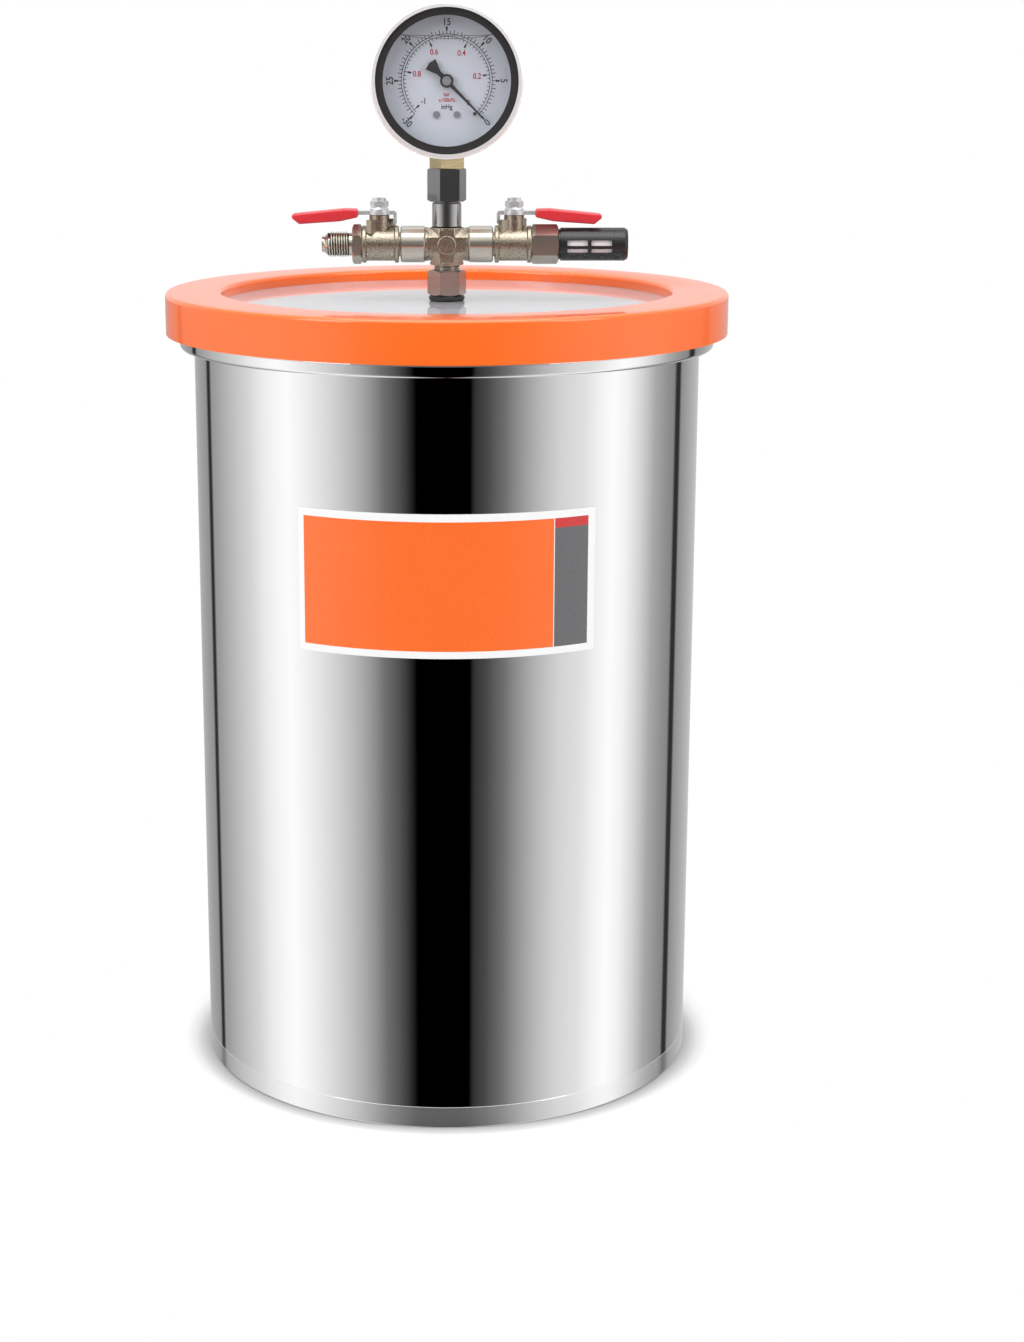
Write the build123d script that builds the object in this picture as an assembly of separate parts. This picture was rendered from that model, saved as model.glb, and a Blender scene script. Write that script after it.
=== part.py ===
"""Vacuum degassing chamber: a stainless pot, a clear lid in a silicone ring, and a valve manifold
with a vacuum gauge.  Millimetres, +Z up, origin at the centre of the underside of the pot."""
import os
from math import acos, asin, cos, degrees, hypot, pi, radians, sin, sqrt, tan

from build123d import *

# Pot
pot_inner_d = 250.0          # bore of the pot
pot_wall = 1.5               # sheet thickness of the tube and the base
pot_height = 378.5           # top of the rolled rim
base_height = 11.0           # upstand of the base pan
base_corner_r = 5.0          # outside bend of the base pan
rim_roll_r = 4.25            # outside radius of the rolled rim's curl
rim_roll_turn = 295.0        # how far the curl goes round, degrees

# Label
label_width = 147.3          # measured round the wall
label_height = 68.6
label_drop = 106.9           # from the rim's top to the label's middle
label_thickness = 0.25

# Lid and its silicone ring
lid_thickness = 10.0
gasket_skirt_wall = 6.4      # silicone outside the rolled rim
gasket_width = 28.1          # from the ring's outside to its opening
gasket_top_lip = 5.6
gasket_bottom_lip = 2.8
gasket_skirt = 2.2           # how far the skirt hangs below the rim's top
gasket_wall = 5.4            # silicone outside the lid's edge
gasket_rim_gap = 0.5
gasket_sink = 0.3            # how deep the rim presses into the lower lip
gasket_lip_reach = 17.0      # width of the lower lip under the lid
gasket_edge_r = 2.0

# Pipe sizes shared by the fittings
passage_r = 3.2              # air way through every fitting
stub_r = 6.0                 # quarter inch pipe thread, outside
hex_af = 17.0                # hexagons of the manifold, across flats
hex_turn = 10.0              # how the hexagons happen to stand, degrees
edge_chamfer = 0.6

# Bulkhead through the lid
tail_r = 6.5
lid_hole_gap = 0.3
upper_washer_out = 0.45      # how far the washer stands past the hexagon's flats
upper_washer_t = 3.0
lower_washer_r = 11.0
lower_washer_t = 2.0
lock_nut_af = 19.0
lock_nut_t = 5.5
tail_out = 2.0               # thread showing under the lock nut
adapter_hex_t = 12.4
adapter_socket = 5.4

# Cross
cross_lift = 28.0            # pipe axis above the lid's top face
cross_arm_x = 10.8
cross_arm_up = 8.4
cross_arm_down = 10.0
cross_run_r = 7.8            # horizontal arms
cross_rise_r = 7.4           # vertical arms
cross_lip_r = 8.4
cross_lip_t = 1.3
stub_len = 5.7
boss_r = 4.6
boss_out = 0.7

# Couplings
side_coupling_r = 9.0
side_coupling_len = 12.2
upper_coupling_r = 7.3
upper_coupling_len = 12.2
gauge_adapter_t = 16.4
gauge_adapter_gap = 0.4
gauge_adapter_socket = 9.0

# Ball valve, in its own frame: pipe along X, stem up +Z, outlet towards +X
valve_gap = 0.8              # thread showing between coupling and valve
valve_in = 9.7               # from stem axis to the inner end
valve_out = 8.6              # from stem axis to the outer end
valve_wall = 1.4             # of the barrel round its chamber
valve_flange_out = 1.0
valve_flange_t = 1.8
valve_stub = 6.4
neck_wall = 1.3
neck_rise = 6.1              # from the barrel to the neck's top
packing_wall = 1.5
chamber_gap = 1.4            # round the ball
chamber_side = 0.8           # beside the ball, along the pipe
ball_r = 5.4
ball_bore_r = 3.0
seat_share = 2 / 3           # how far out along the ball's radius the seats begin
run_gap = 0.05               # clearance of parts that turn in each other
stem_r = 2.2
stem_collar_out = 0.6
stem_collar_t = 0.6
tang_t = 2.0
tang_w = 4.4
tang_depth = 1.6
insert_hex_left = 4.9        # hexagon of the left valve's end piece
insert_hex_right = 13.4
socket_r = 5.2               # thread in the valve's outer end
socket_depth = 6.0

# Valve lever
lever_t = 1.8
lever_lift = 0.3             # over the neck
lever_disc_r = 5.6
lever_w = 6.5
tab_w = 4.4
tab_in = 7.0                 # inner face of the stop tab from the stem axis
tab_t = 1.6
tab_drop = 4.4
lug_w = 3.0
lug_r = 8.8
lug_swing = 36.0             # lug to tab at either end of the travel, degrees
lug_drop = 2.0               # from the neck's top to the lugs'
lever_travel = 90.0
grip_wall = 1.05             # vinyl at each side of the strip
grip_corner_r = 1.5
grip_edge_r = 1.2
nut_flange_r = 4.75
nut_flange_t = 1.8
nut_af = 8.0
nut_t = 3.2
nut_collar_r = 3.4
nut_collar_t = 1.3

# Flare fitting on the left valve
flare_thread_r = 6.35        # half inch, 20 threads to the inch
flare_neck_r = 5.6
flare_neck = 1.6
flare_thread = 10.6
flare_nose = 3.0
flare_nose_r = 3.9
flare_bore_r = 2.4

# Exhaust muffler on the right valve
muffler_r = 8.15
muffler_wall = 1.5
muffler_collar = 1.1         # narrow collar against the hexagon
muffler_cage_len = 26.4
muffler_cap_len = 7.0
muffler_cap_bevel = 1.6
muffler_bore_r = 3.0
filter_bore_r = 3.4
slot_first = 3.2             # from the cage's start to its first slots
slot_len = 10.2
slot_pitch = 11.9
slot_h = 2.8
slot_angles = (8.0, -23.0)   # about the pipe axis, up from the front

# Gauge, in its own frame: X right, Y up, +Z out of the dial, centre on the pointer's axis
gauge_stem_show = 8.2        # brass between the long hexagon and the case
bezel_out = 3.4              # how far the bezel stands outside the case
bezel_front = 19.0
bezel_back = 10.0
bezel_wall = 1.0
bezel_lip_w = 2.4
bezel_lip_t = 1.2
bezel_crimp_gap = 0.6
bezel_edge_r = 0.9
case_r = 33.8
case_wall = 0.8
case_back = -12.0
case_edge_r = 3.0
case_flange_t = 1.0
seal_t = 1.2
seal_lap = 0.4               # how far the seal reaches inside the case's outside
window_t = 2.2
ring_w = 6.1                 # black ring, from the bezel's outside to its opening
dial_front = 8.4
dial_t = 0.8
dial_gap = 0.6               # between the dial and the case
dial_hole_r = 2.5
dial_screw_x = 4.95
dial_screw_y = -16.1
dial_screw_r = 1.75
pointer_z = 10.2
pointer_t = 0.6
pointer_len = 26.8
pointer_rest = -45.0         # degrees from the gauge's X
pointer_travel = 270.0
hub_r = 3.3
hub_cap_r = 1.7
hub_top = 12.2
stop_pin_r = 0.9
stop_pin_reach = 20.7
plug_r = 4.4
plug_neck_r = 3.2
plug_out = 3.0
plug_z = -1.0

# Gauge stem and movement
wrench_square = 12.7
wrench_turn = 26.6
block_x = 12.0
block_z = 9.0
block_gap = 0.3              # between the block and the sector's tail at full travel
neck_inset = 2.4             # from the case's outside to where the stem's block starts
stem_bore_r = 2.0
plate_front_z = 5.0
plate_back_z = -1.6
plate_t = 0.8
plate_half_w = 7.5
plate_top = 7.5
plate_below = 6.6            # from the sector's pivot to the plates' lower edge
pillar_r = 1.2
pillar_x = 6.0
pillar_below = 4.9           # from the sector's pivot to the lower pillars
pillar_top_y = 5.6
arbor_r = 0.6
gear_module = 0.4
pinion_teeth = 12
sector_teeth_full = 60       # teeth of the whole circle that the sector is cut from
sector_teeth = 12
pressure_angle = 25.0
gear_backlash = 0.05
gear_z = 1.4
gear_t = 1.8
sector_pin_r = 0.8
sector_rim = 2.2
tail_len = 5.0
tail_angle = -37.0           # of the sector's tail at half travel
eye_r = 1.2
eye_pin_r = 0.5
link_z = 3.5
link_t = 0.8
link_w = 1.4
tube_clear = 10.6            # from the sector's pivot out to the pressure tube
tube_radial = 2.4
tube_z0 = -2.6
tube_z1 = 5.0
tube_sweep = 245.0
tip_eye_x = 20.5
tip_eye_y = 3.5
tip_gap = 0.4

# Worked out from the above
pot_r = pot_inner_d / 2 + pot_wall
roll_r = rim_roll_r - pot_wall / 2
roll_centre_r = pot_inner_d / 2 + pot_wall / 2 + roll_r
roll_centre_z = pot_height - rim_roll_r
gasket_base_z = pot_height - gasket_sink
lid_z = gasket_base_z + gasket_bottom_lip
lid_top = lid_z + lid_thickness
gasket_r = roll_centre_r + rim_roll_r + gasket_rim_gap + gasket_skirt_wall
lid_r = gasket_r - gasket_wall
label_centre_z = pot_height - label_drop
upper_washer_r = hex_af / 2 + upper_washer_out
axis_z = lid_top + cross_lift
chamber_r = ball_r + chamber_gap
chamber_half = ball_r + chamber_side
seat_face = ball_r * seat_share
valve_barrel_r = chamber_r + valve_wall
valve_flange_r = valve_barrel_r + valve_flange_out
neck_bore_r = stem_r + packing_wall
neck_r = neck_bore_r + neck_wall
neck_top = valve_barrel_r + neck_rise
lug_top = neck_top - lug_drop
stem_collar_r = stem_r + stem_collar_out
grip_w = lever_w + 2 * grip_wall
bezel_r = case_r + bezel_out
bezel_lip_r = bezel_r - bezel_lip_w
bezel_crimp_r = case_r + bezel_crimp_gap
seal_inner_r = case_r - seal_lap
ring_inner_r = bezel_r - ring_w
dial_r = case_r - case_wall - dial_gap
plug_top = case_r + plug_out
neck_join = case_r - neck_inset
adapter_rise = cross_arm_up + upper_coupling_len + gauge_adapter_gap + gauge_adapter_t
gauge_lift = adapter_rise + gauge_stem_show + case_r
gauge_z = axis_z + gauge_lift
stem_x = cross_arm_x + side_coupling_len + valve_gap + valve_in
gear_ratio = sector_teeth_full / pinion_teeth
gear_centres = gear_module * (pinion_teeth + sector_teeth_full) / 2
tube_r = gear_centres + tube_clear
sector_swing = pointer_travel / gear_ratio
tail_low = gear_centres + tail_len * sin(radians(sector_swing / 2 - tail_angle)) + eye_r
block_top = -tail_low - block_gap
plate_bottom = -gear_centres - plate_below
pillar_y = -gear_centres - pillar_below


def ring(outer_r, inner_r, z0, z1):
    """Round sleeve about +Z."""
    sleeve = Cylinder(outer_r, z1 - z0) - Cylinder(inner_r, z1 - z0)
    return Pos(0, 0, (z0 + z1) / 2) * sleeve


def rod(radius, z0, z1):
    """Round bar about +Z."""
    return Pos(0, 0, (z0 + z1) / 2) * Cylinder(radius, z1 - z0)


def block(x0, x1, y0, y1, z0, z1):
    """Rectangular block between two corners."""
    return Pos((x0 + x1) / 2, (y0 + y1) / 2, (z0 + z1) / 2) * Box(x1 - x0, y1 - y0, z1 - z0)


def turned(*points):
    """Solid turned about +Z from an outline of (radius, height) points."""
    outline = Plane.XZ * make_face(Polyline(*points, close=True))
    return revolve(outline, Axis.Z)


def bevelled(outer_r, inner_r, z0, z1, bevel=edge_chamfer):
    """Sleeve whose two outer edges are turned back."""
    return turned((inner_r, z0), (outer_r - bevel, z0), (outer_r, z0 + bevel),
                  (outer_r, z1 - bevel), (outer_r - bevel, z1), (inner_r, z1))


def hexagon(across_flats, z0, z1, turn=0.0):
    """Hexagon bar whose corners are turned back at both ends."""
    corner_r = across_flats / 2 / cos(radians(30))
    flat = RegularPolygon(across_flats / 2, 6, major_radius=False, rotation=turn)
    bar = Pos(0, 0, z0) * extrude(flat, z1 - z0)
    drop = (corner_r - across_flats / 2) * tan(radians(30))
    land = across_flats / 2 - 0.1
    lathe = turned((0, z0), (land, z0), (corner_r + 0.1, z0 + drop + 0.1),
                   (corner_r + 0.1, z1 - drop - 0.1), (land, z1), (0, z1))
    return bar & lathe


def along_x(shape):
    """Turn a shape modelled about +Z so that it runs along +X."""
    return Rot(0, 90, 0) * shape


def on_gauge(shape):
    """Place a shape from the gauge's frame, which faces the front of the chamber."""
    return Pos(0, 0, gauge_z) * Rot(90, 0, 0) * shape


# ---- pot ----

def pot_tube():
    """Rolled tube whose top edge is curled outwards into a round rim."""
    end = 180.0 - rim_roll_turn
    inside_r = rim_roll_r - pot_wall
    centre = (roll_centre_r, roll_centre_z)
    curl_in = CenterArc(centre, inside_r, 180, -rim_roll_turn)
    curl_out = CenterArc(centre, rim_roll_r, end, rim_roll_turn)
    edges = [
        Line((pot_r, base_height), curl_in @ 0),
        curl_in,
        Line(curl_in @ 1, curl_out @ 0),
        curl_out,
        Line(curl_out @ 1, (pot_inner_d / 2, base_height)),
        Line((pot_inner_d / 2, base_height), (pot_r, base_height)),
    ]
    return revolve(Plane.XZ * make_face(Curve() + edges), Axis.Z)


def base_pan():
    """Drawn pan that closes the tube's lower end."""
    pan = rod(pot_r, 0, base_height)
    pan = fillet(pan.edges().sort_by(Axis.Z)[0], base_corner_r)
    hollow = rod(pot_inner_d / 2, pot_wall, base_height + base_corner_r)
    hollow = fillet(hollow.edges().sort_by(Axis.Z)[0], base_corner_r - pot_wall)
    return pan - hollow


def label():
    """Thin label that follows the wall, centred on the front."""
    angle = degrees(label_width / pot_r)
    half = label_height / 2
    strip = Pos(pot_r + label_thickness / 2, 0) * Rectangle(label_thickness, 2 * half)
    sheet = revolve(Plane.XZ * strip, Axis.Z, angle)
    return Pos(0, 0, label_centre_z) * Rot(0, 0, -90 - angle / 2) * sheet


# ---- lid ----

def lid_gasket():
    """Silicone ring: a channel round the lid's edge with a skirt over the rolled rim."""
    outer = gasket_r
    opening = gasket_r - gasket_width
    skirt_r = roll_centre_r + rim_roll_r + gasket_rim_gap
    skirt_z = pot_height - gasket_skirt
    top = lid_top + gasket_top_lip
    lip_r = lid_r - gasket_lip_reach
    body = turned((opening, lid_top), (opening, top), (outer, top), (outer, skirt_z),
                  (skirt_r, skirt_z), (skirt_r, gasket_base_z), (lip_r, gasket_base_z),
                  (lip_r, lid_z), (lid_r, lid_z), (lid_r, lid_top))
    body = fillet(body.edges().group_by(Axis.Z)[-1], gasket_edge_r)
    groove = Plane.XZ * (Pos(roll_centre_r, roll_centre_z) * Circle(rim_roll_r))
    return body - revolve(groove, Axis.Z)


def acrylic_lid():
    """Clear disc with one hole for the bulkhead."""
    return ring(lid_r, tail_r + lid_hole_gap, lid_z, lid_top)


# ---- bulkhead ----

def upper_washer():
    """Rubber washer between the hexagon and the lid."""
    return bevelled(upper_washer_r, tail_r, lid_top, lid_top + upper_washer_t, 0.9)


def lower_washer():
    """Rubber washer under the lid."""
    return ring(lower_washer_r, tail_r, lid_z - lower_washer_t, lid_z)


def lock_nut():
    """Hexagon nut that pulls the bulkhead down."""
    top = lid_z - lower_washer_t
    return hexagon(lock_nut_af, top - lock_nut_t, top) - rod(tail_r, top - lock_nut_t, top)


def lid_adapter():
    """Hexagon socket with a threaded tail that goes through the lid."""
    hex_z = lid_top + upper_washer_t
    hex_top = hex_z + adapter_hex_t
    tail_end = lid_z - lower_washer_t - lock_nut_t - tail_out
    body = hexagon(hex_af, hex_z, hex_top, hex_turn) + rod(tail_r, tail_end, hex_z)
    body -= rod(passage_r, tail_end, hex_top)
    return body - rod(stub_r, hex_top - adapter_socket, hex_top)


# ---- cross and couplings ----

def cross_fitting():
    """Cast cross with four threaded ends, in the pipe frame."""
    run = along_x(rod(cross_run_r, -cross_arm_x, cross_arm_x))
    rise = rod(cross_rise_r, -cross_arm_down, cross_arm_up)
    body = fillet((run + rise).edges().filter_by(GeomType.BSPLINE), 0.8)
    body += Rot(90, 0, 0) * rod(boss_r, -cross_run_r - boss_out, cross_run_r + boss_out)
    for side in (-1, 1):
        inner, outer = cross_arm_x - cross_lip_t, cross_arm_x
        body += along_x(rod(cross_lip_r, *sorted((side * inner, side * outer))))
    body += along_x(rod(stub_r, -cross_arm_x - stub_len, cross_arm_x + stub_len))
    body += rod(stub_r, -cross_arm_down - stub_len, cross_arm_up + stub_len)
    body -= along_x(rod(passage_r, -cross_arm_x - stub_len, cross_arm_x + stub_len))
    body -= rod(passage_r, -cross_arm_down - stub_len, cross_arm_up + stub_len)
    return Pos(0, 0, axis_z) * body


def side_coupling(side):
    """Round coupling between the cross and a valve."""
    sleeve = bevelled(side_coupling_r, stub_r, cross_arm_x, cross_arm_x + side_coupling_len)
    return Pos(0, 0, axis_z) * Rot(0, 0, 0 if side > 0 else 180) * along_x(sleeve)


def upper_coupling():
    """Round coupling between the cross and the gauge's hexagon."""
    start = axis_z + cross_arm_up
    return bevelled(upper_coupling_r, stub_r, start, start + upper_coupling_len)


def gauge_adapter():
    """Long hexagon that carries the gauge."""
    start = axis_z + cross_arm_up + upper_coupling_len + gauge_adapter_gap
    top = start + gauge_adapter_t
    body = hexagon(hex_af, start, top, hex_turn) + rod(stub_r, start - stub_len, start)
    body -= rod(passage_r, start - stub_len, top)
    return body - rod(stub_r, top - gauge_adapter_socket, top)


# ---- ball valves ----

def stop_lug(angle):
    """One of the two lugs on the neck that stop the lever's tab."""
    return Rot(0, 0, angle) * block(neck_r - 1.5, lug_r, -lug_w / 2, lug_w / 2, 5.5, lug_top)


def valve_body():
    """Cast body: flanged barrel, neck for the stem, two stop lugs, inner threaded end."""
    flange = valve_flange_t
    barrel = turned((0, -valve_in), (valve_flange_r - 0.4, -valve_in),
                    (valve_flange_r, -valve_in + 0.4), (valve_flange_r, -valve_in + flange),
                    (valve_barrel_r, -valve_in + flange + 0.6),
                    (valve_barrel_r, valve_out - flange - 0.6),
                    (valve_flange_r, valve_out - flange), (valve_flange_r, valve_out - 0.4),
                    (valve_flange_r - 0.4, valve_out), (0, valve_out))
    body = along_x(barrel) + along_x(rod(stub_r, -valve_in - valve_stub, -valve_in))
    body += rod(neck_r, 0, neck_top)
    body += stop_lug(180 + lug_swing) + stop_lug(180 - lever_travel - lug_swing)
    body -= along_x(rod(chamber_r, -chamber_half, valve_out))
    body -= along_x(rod(passage_r, -valve_in - valve_stub, 0))
    body -= rod(neck_bore_r, chamber_r + 0.8, neck_top)
    return body - rod(stem_r + run_gap, 0, neck_top)


def end_insert(hex_len):
    """Piece screwed into the valve's outer end: it holds the seats and takes the next fitting."""
    end = valve_out + hex_len
    start = end - socket_depth
    body = rod(chamber_r, chamber_half, valve_out) + hexagon(hex_af, valve_out, end)
    body -= rod(passage_r, chamber_half, end)
    body -= rod(socket_r, max(start, chamber_half + 1.2), end)
    return along_x(body)


def ball_seats():
    """Two plastic rings, hollowed to the ball, that it turns between."""
    cup_r = ball_r + run_gap
    low = degrees(asin(seat_face / cup_r))
    high = degrees(acos(passage_r / cup_r))
    cup = CenterArc((0, 0), cup_r, high, low - high)
    rim = Polyline(cup @ 1, (chamber_r, seat_face), (chamber_r, chamber_half),
                   (passage_r, chamber_half), cup @ 0)
    seat = revolve(Plane.XZ * make_face(Curve() + [cup, rim]), Axis.Z)
    return Compound(children=[Rot(0, side * 90, 0) * seat for side in (-1, 1)])


def stem_packing():
    """Packing that seals the stem in the neck."""
    return ring(neck_bore_r, stem_r + run_gap, chamber_r + 0.8, neck_top - 1.5)


def stem_tang():
    """Flat foot of the stem, which drives the ball."""
    z0 = ball_r - tang_depth
    top = ball_r + 0.1
    return block(-tang_t / 2, tang_t / 2, -tang_w / 2, tang_w / 2, z0, top)


def valve_stem():
    """Stem with a collar that can't blow out and a tang in the ball's slot."""
    collar_z = ball_r + 0.1
    stem_top = neck_top + lever_lift + lever_t + nut_flange_t + nut_t + nut_collar_t - 0.4
    stem = rod(stem_r, collar_z, stem_top)
    stem += rod(stem_collar_r, collar_z, collar_z + stem_collar_t)
    return stem + stem_tang()


def valve_ball():
    """Ball with its bore along the pipe and a slot for the stem."""
    return Sphere(ball_r) - along_x(rod(ball_bore_r, -ball_r, ball_r)) - stem_tang()


def lever_profile(z0, z1):
    """Side view of the lever's strip, which dips towards the tip."""
    mid = z0 - 0.9
    tip = z0 - 3.0
    return [(0, z0), (10, z0), (15, mid), (40, tip), (40, tip + lever_t),
            (15.3, mid + lever_t), (10.3, z1), (0, z1)]


def from_side(points, width):
    """Prism whose outline is drawn in X and Z, centred on Y."""
    return extrude(Plane.XZ * make_face(Polyline(*points, close=True)), width / 2, both=True)


def lever_plate():
    """Plated steel lever with a disc on the stem and a stop tab bent down behind it."""
    z0 = neck_top + lever_lift
    z1 = z0 + lever_t
    tab_out = tab_in + tab_t
    plate = rod(lever_disc_r, z0, z1) + from_side(lever_profile(z0, z1), lever_w)
    tab = block(-tab_out, 0, -tab_w / 2, tab_w / 2, z0, z1)
    tab += block(-tab_out, -tab_in, -tab_w / 2, tab_w / 2, z0 - tab_drop, z1)
    tab = fillet(tab.edges().filter_by(Axis.Y).sort_by(SortBy.DISTANCE)[-1], tab_t)
    return plate + tab - rod(stem_r, z0, z1)


def lever_grip():
    """Dipped vinyl sleeve over the lever's strip."""
    z0 = neck_top + lever_lift
    side = [(10.4, z0 - 1.2), (10.4, z0 + 2.8), (17.2, z0 + 3.0), (45.8, z0 + 0.2),
            (39.8, z0 - 4.6), (19.4, z0 - 3.2)]
    outline = make_face(Polyline(*side, close=True))
    outline = fillet(outline.vertices(), grip_corner_r)
    sleeve = extrude(Plane.XZ * outline, grip_w / 2, both=True)
    edges = sleeve.edges().group_by(Axis.Y)
    sleeve = fillet(edges[0] + edges[-1], grip_edge_r)
    return sleeve - from_side(lever_profile(z0, z0 + lever_t), lever_w)


def lever_nut():
    """Flanged lock nut on the stem."""
    z0 = neck_top + lever_lift + lever_t
    hex_z = z0 + nut_flange_t
    top = hex_z + nut_t
    nut = turned((0, z0), (nut_flange_r, z0), (nut_flange_r, z0 + 0.9), (nut_af / 2, hex_z), (0, hex_z))
    nut += hexagon(nut_af, hex_z, top) + rod(nut_collar_r, top, top + nut_collar_t)
    return nut - rod(stem_r, z0, top + nut_collar_t)


def place_valve(shape, side):
    """Move a shape from the valve's frame to the left (-1) or right (+1) end of the cross."""
    return Pos(side * stem_x, 0, axis_z) * Rot(0, 0, 0 if side > 0 else 180) * shape


# ---- fittings on the valves ----

def flare_fitting():
    """Threaded connector with a 45 degree nose for a charging hose."""
    start = valve_out + insert_hex_left
    inner = start - socket_depth
    thread = start + flare_neck
    nose = thread + flare_thread
    tip = nose + flare_nose
    cone = nose + (flare_thread_r - 0.9 - flare_nose_r)
    socket = max(inner, chamber_half + 1.2)
    body = turned((flare_bore_r, socket), (socket_r, socket), (socket_r, start),
                  (flare_neck_r, start), (flare_neck_r, thread - 0.5), (flare_thread_r, thread),
                  (flare_thread_r, nose), (flare_thread_r - 0.9, nose),
                  (flare_nose_r, min(cone, tip)), (flare_nose_r, tip), (flare_bore_r, tip))
    return along_x(body)


def muffler_start():
    """Where the muffler begins, along the right valve's X."""
    return valve_out + insert_hex_right


def muffler_cage():
    """Slotted plastic cage with its threaded end."""
    start = muffler_start()
    cage_z = start + muffler_collar
    end = start + muffler_cage_len + muffler_collar
    body = rod(socket_r, start - socket_depth, start)
    body += rod(muffler_r - 0.7, start, cage_z) + rod(muffler_r, cage_z, end)
    body -= rod(muffler_r - muffler_wall, cage_z + 1.2, end)
    body = along_x(body - rod(muffler_bore_r, start - socket_depth, end))
    for face in (0, 180):
        for angle in slot_angles:
            for step in range(2):
                x0 = cage_z + slot_first + step * slot_pitch
                slot = block(x0, x0 + slot_len, -muffler_r - 1, -muffler_r / 2, -slot_h / 2, slot_h / 2)
                body -= Rot(face - angle, 0, 0) * slot
    return body


def muffler_filter():
    """White felt tube inside the cage."""
    z0 = muffler_start() + muffler_collar + 1.2
    return along_x(ring(muffler_r - muffler_wall, filter_bore_r, z0, z0 + muffler_cage_len - 1.2))


def muffler_cap():
    """Plug that closes the cage."""
    z0 = muffler_start() + muffler_collar + muffler_cage_len
    end = z0 + muffler_cap_len
    body = turned((0, z0), (muffler_r - 0.2, z0), (muffler_r, z0 + 0.6),
                  (muffler_r, end - muffler_cap_bevel),
                  (muffler_r - muffler_cap_bevel * 0.6, end), (0, end))
    return along_x(body)


# ---- gauge case ----

def gauge_case():
    """Pressed case with a flange for the bezel, open at the front."""
    front = bezel_back + bezel_wall + case_flange_t
    can = rod(case_r, case_back, front)
    can = fillet(can.edges().sort_by(Axis.Z)[0], case_edge_r)
    hollow = rod(case_r - case_wall, case_back + case_wall, front + case_edge_r)
    hollow = fillet(hollow.edges().sort_by(Axis.Z)[0], case_edge_r - case_wall)
    can += rod(bezel_r - bezel_wall, front - case_flange_t, front)
    can -= hollow
    can -= Rot(-90, 0, 0) * rod(plug_neck_r, case_r - 3, case_r + 1).moved(Location((0, -plug_z, 0)))
    return can - Rot(90, 0, 0) * rod(stub_r, case_r - 3, case_r + 1)


def gauge_bezel():
    """Crimped ring that holds the window on the case."""
    body = turned((bezel_crimp_r, bezel_back), (bezel_r, bezel_back), (bezel_r, bezel_front),
                  (bezel_lip_r, bezel_front), (bezel_lip_r, bezel_front - bezel_lip_t),
                  (bezel_r - bezel_wall, bezel_front - bezel_lip_t),
                  (bezel_r - bezel_wall, bezel_back + bezel_wall),
                  (bezel_crimp_r, bezel_back + bezel_wall))
    outer = body.edges().filter_by(GeomType.CIRCLE).filter_by(lambda e: e.radius > bezel_r - 0.01)
    return fillet(outer, bezel_edge_r)


def window_stack():
    """Heights of the window pack behind the bezel's lip: seal, window, black ring, lip."""
    seal = bezel_back + bezel_wall + case_flange_t
    return seal, seal + seal_t, seal + seal_t + window_t, bezel_front - bezel_lip_t


def gauge_dial():
    """Dial plate with holes for the arbor and the two screws."""
    plate = ring(dial_r, dial_hole_r, dial_front - dial_t, dial_front)
    for side in (-1, 1):
        plate -= Pos(side * dial_screw_x, dial_screw_y) * rod(0.9, dial_front - dial_t, dial_front)
    return plate


def dial_screws():
    """Two cheese head screws that hold the dial on the movement."""
    head = rod(dial_screw_r, dial_front, dial_front + 0.7)
    head -= block(-2, 2, -0.2, 0.2, dial_front + 0.35, dial_front + 0.8)
    screw = head + rod(0.9, plate_front_z + plate_t, dial_front)
    return [Pos(side * dial_screw_x, dial_screw_y) * screw for side in (-1, 1)]


def stop_pin():
    """Pin in the dial that the pointer rests against."""
    offset = needle_half_width(stop_pin_reach) + run_gap + stop_pin_r
    pin = Pos(stop_pin_reach, -offset) * rod(stop_pin_r, dial_front, pointer_z + pointer_t + 0.6)
    return Rot(0, 0, pointer_rest) * pin


def filler_plug():
    """Rubber plug in the case's filling hole."""
    neck = rod(plug_neck_r, case_r - case_wall - 0.8, case_r)
    base = turned((0, case_r - 0.5), (plug_r, case_r - 0.5), (plug_r, plug_top - 1.0),
                  (plug_r - 1.2, plug_top), (0, plug_top))
    head = base - Rot(90, 0, 0) * rod(case_r, -30, 30)
    return Pos(0, 0, plug_z) * Rot(-90, 0, 0) * (neck + head)


# ---- gauge stem and movement ----

def gauge_socket():
    """Brass stem: threaded end, wrench square, neck through the case, block for the tube."""
    adapter_top = adapter_rise - gauge_lift
    case_low = -case_r
    square = Pos(0, 0, adapter_top) * extrude(
        Rectangle(wrench_square, wrench_square, rotation=wrench_turn), case_low - 0.5 - adapter_top)
    stem = rod(stub_r, adapter_top - gauge_adapter_socket + 0.6, -neck_join)
    body = square + stem + Rot(90, 0, 0) * stem_block()
    body -= rod(stem_bore_r, adapter_top - gauge_adapter_socket, -tube_r)
    return Pos(0, 0, gauge_z) * body


def stem_block():
    """Square block inside the case that carries the pressure tube and the movement."""
    return block(-block_x / 2, block_x / 2, -neck_join, block_top, -block_z / 2, block_z / 2)


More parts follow.
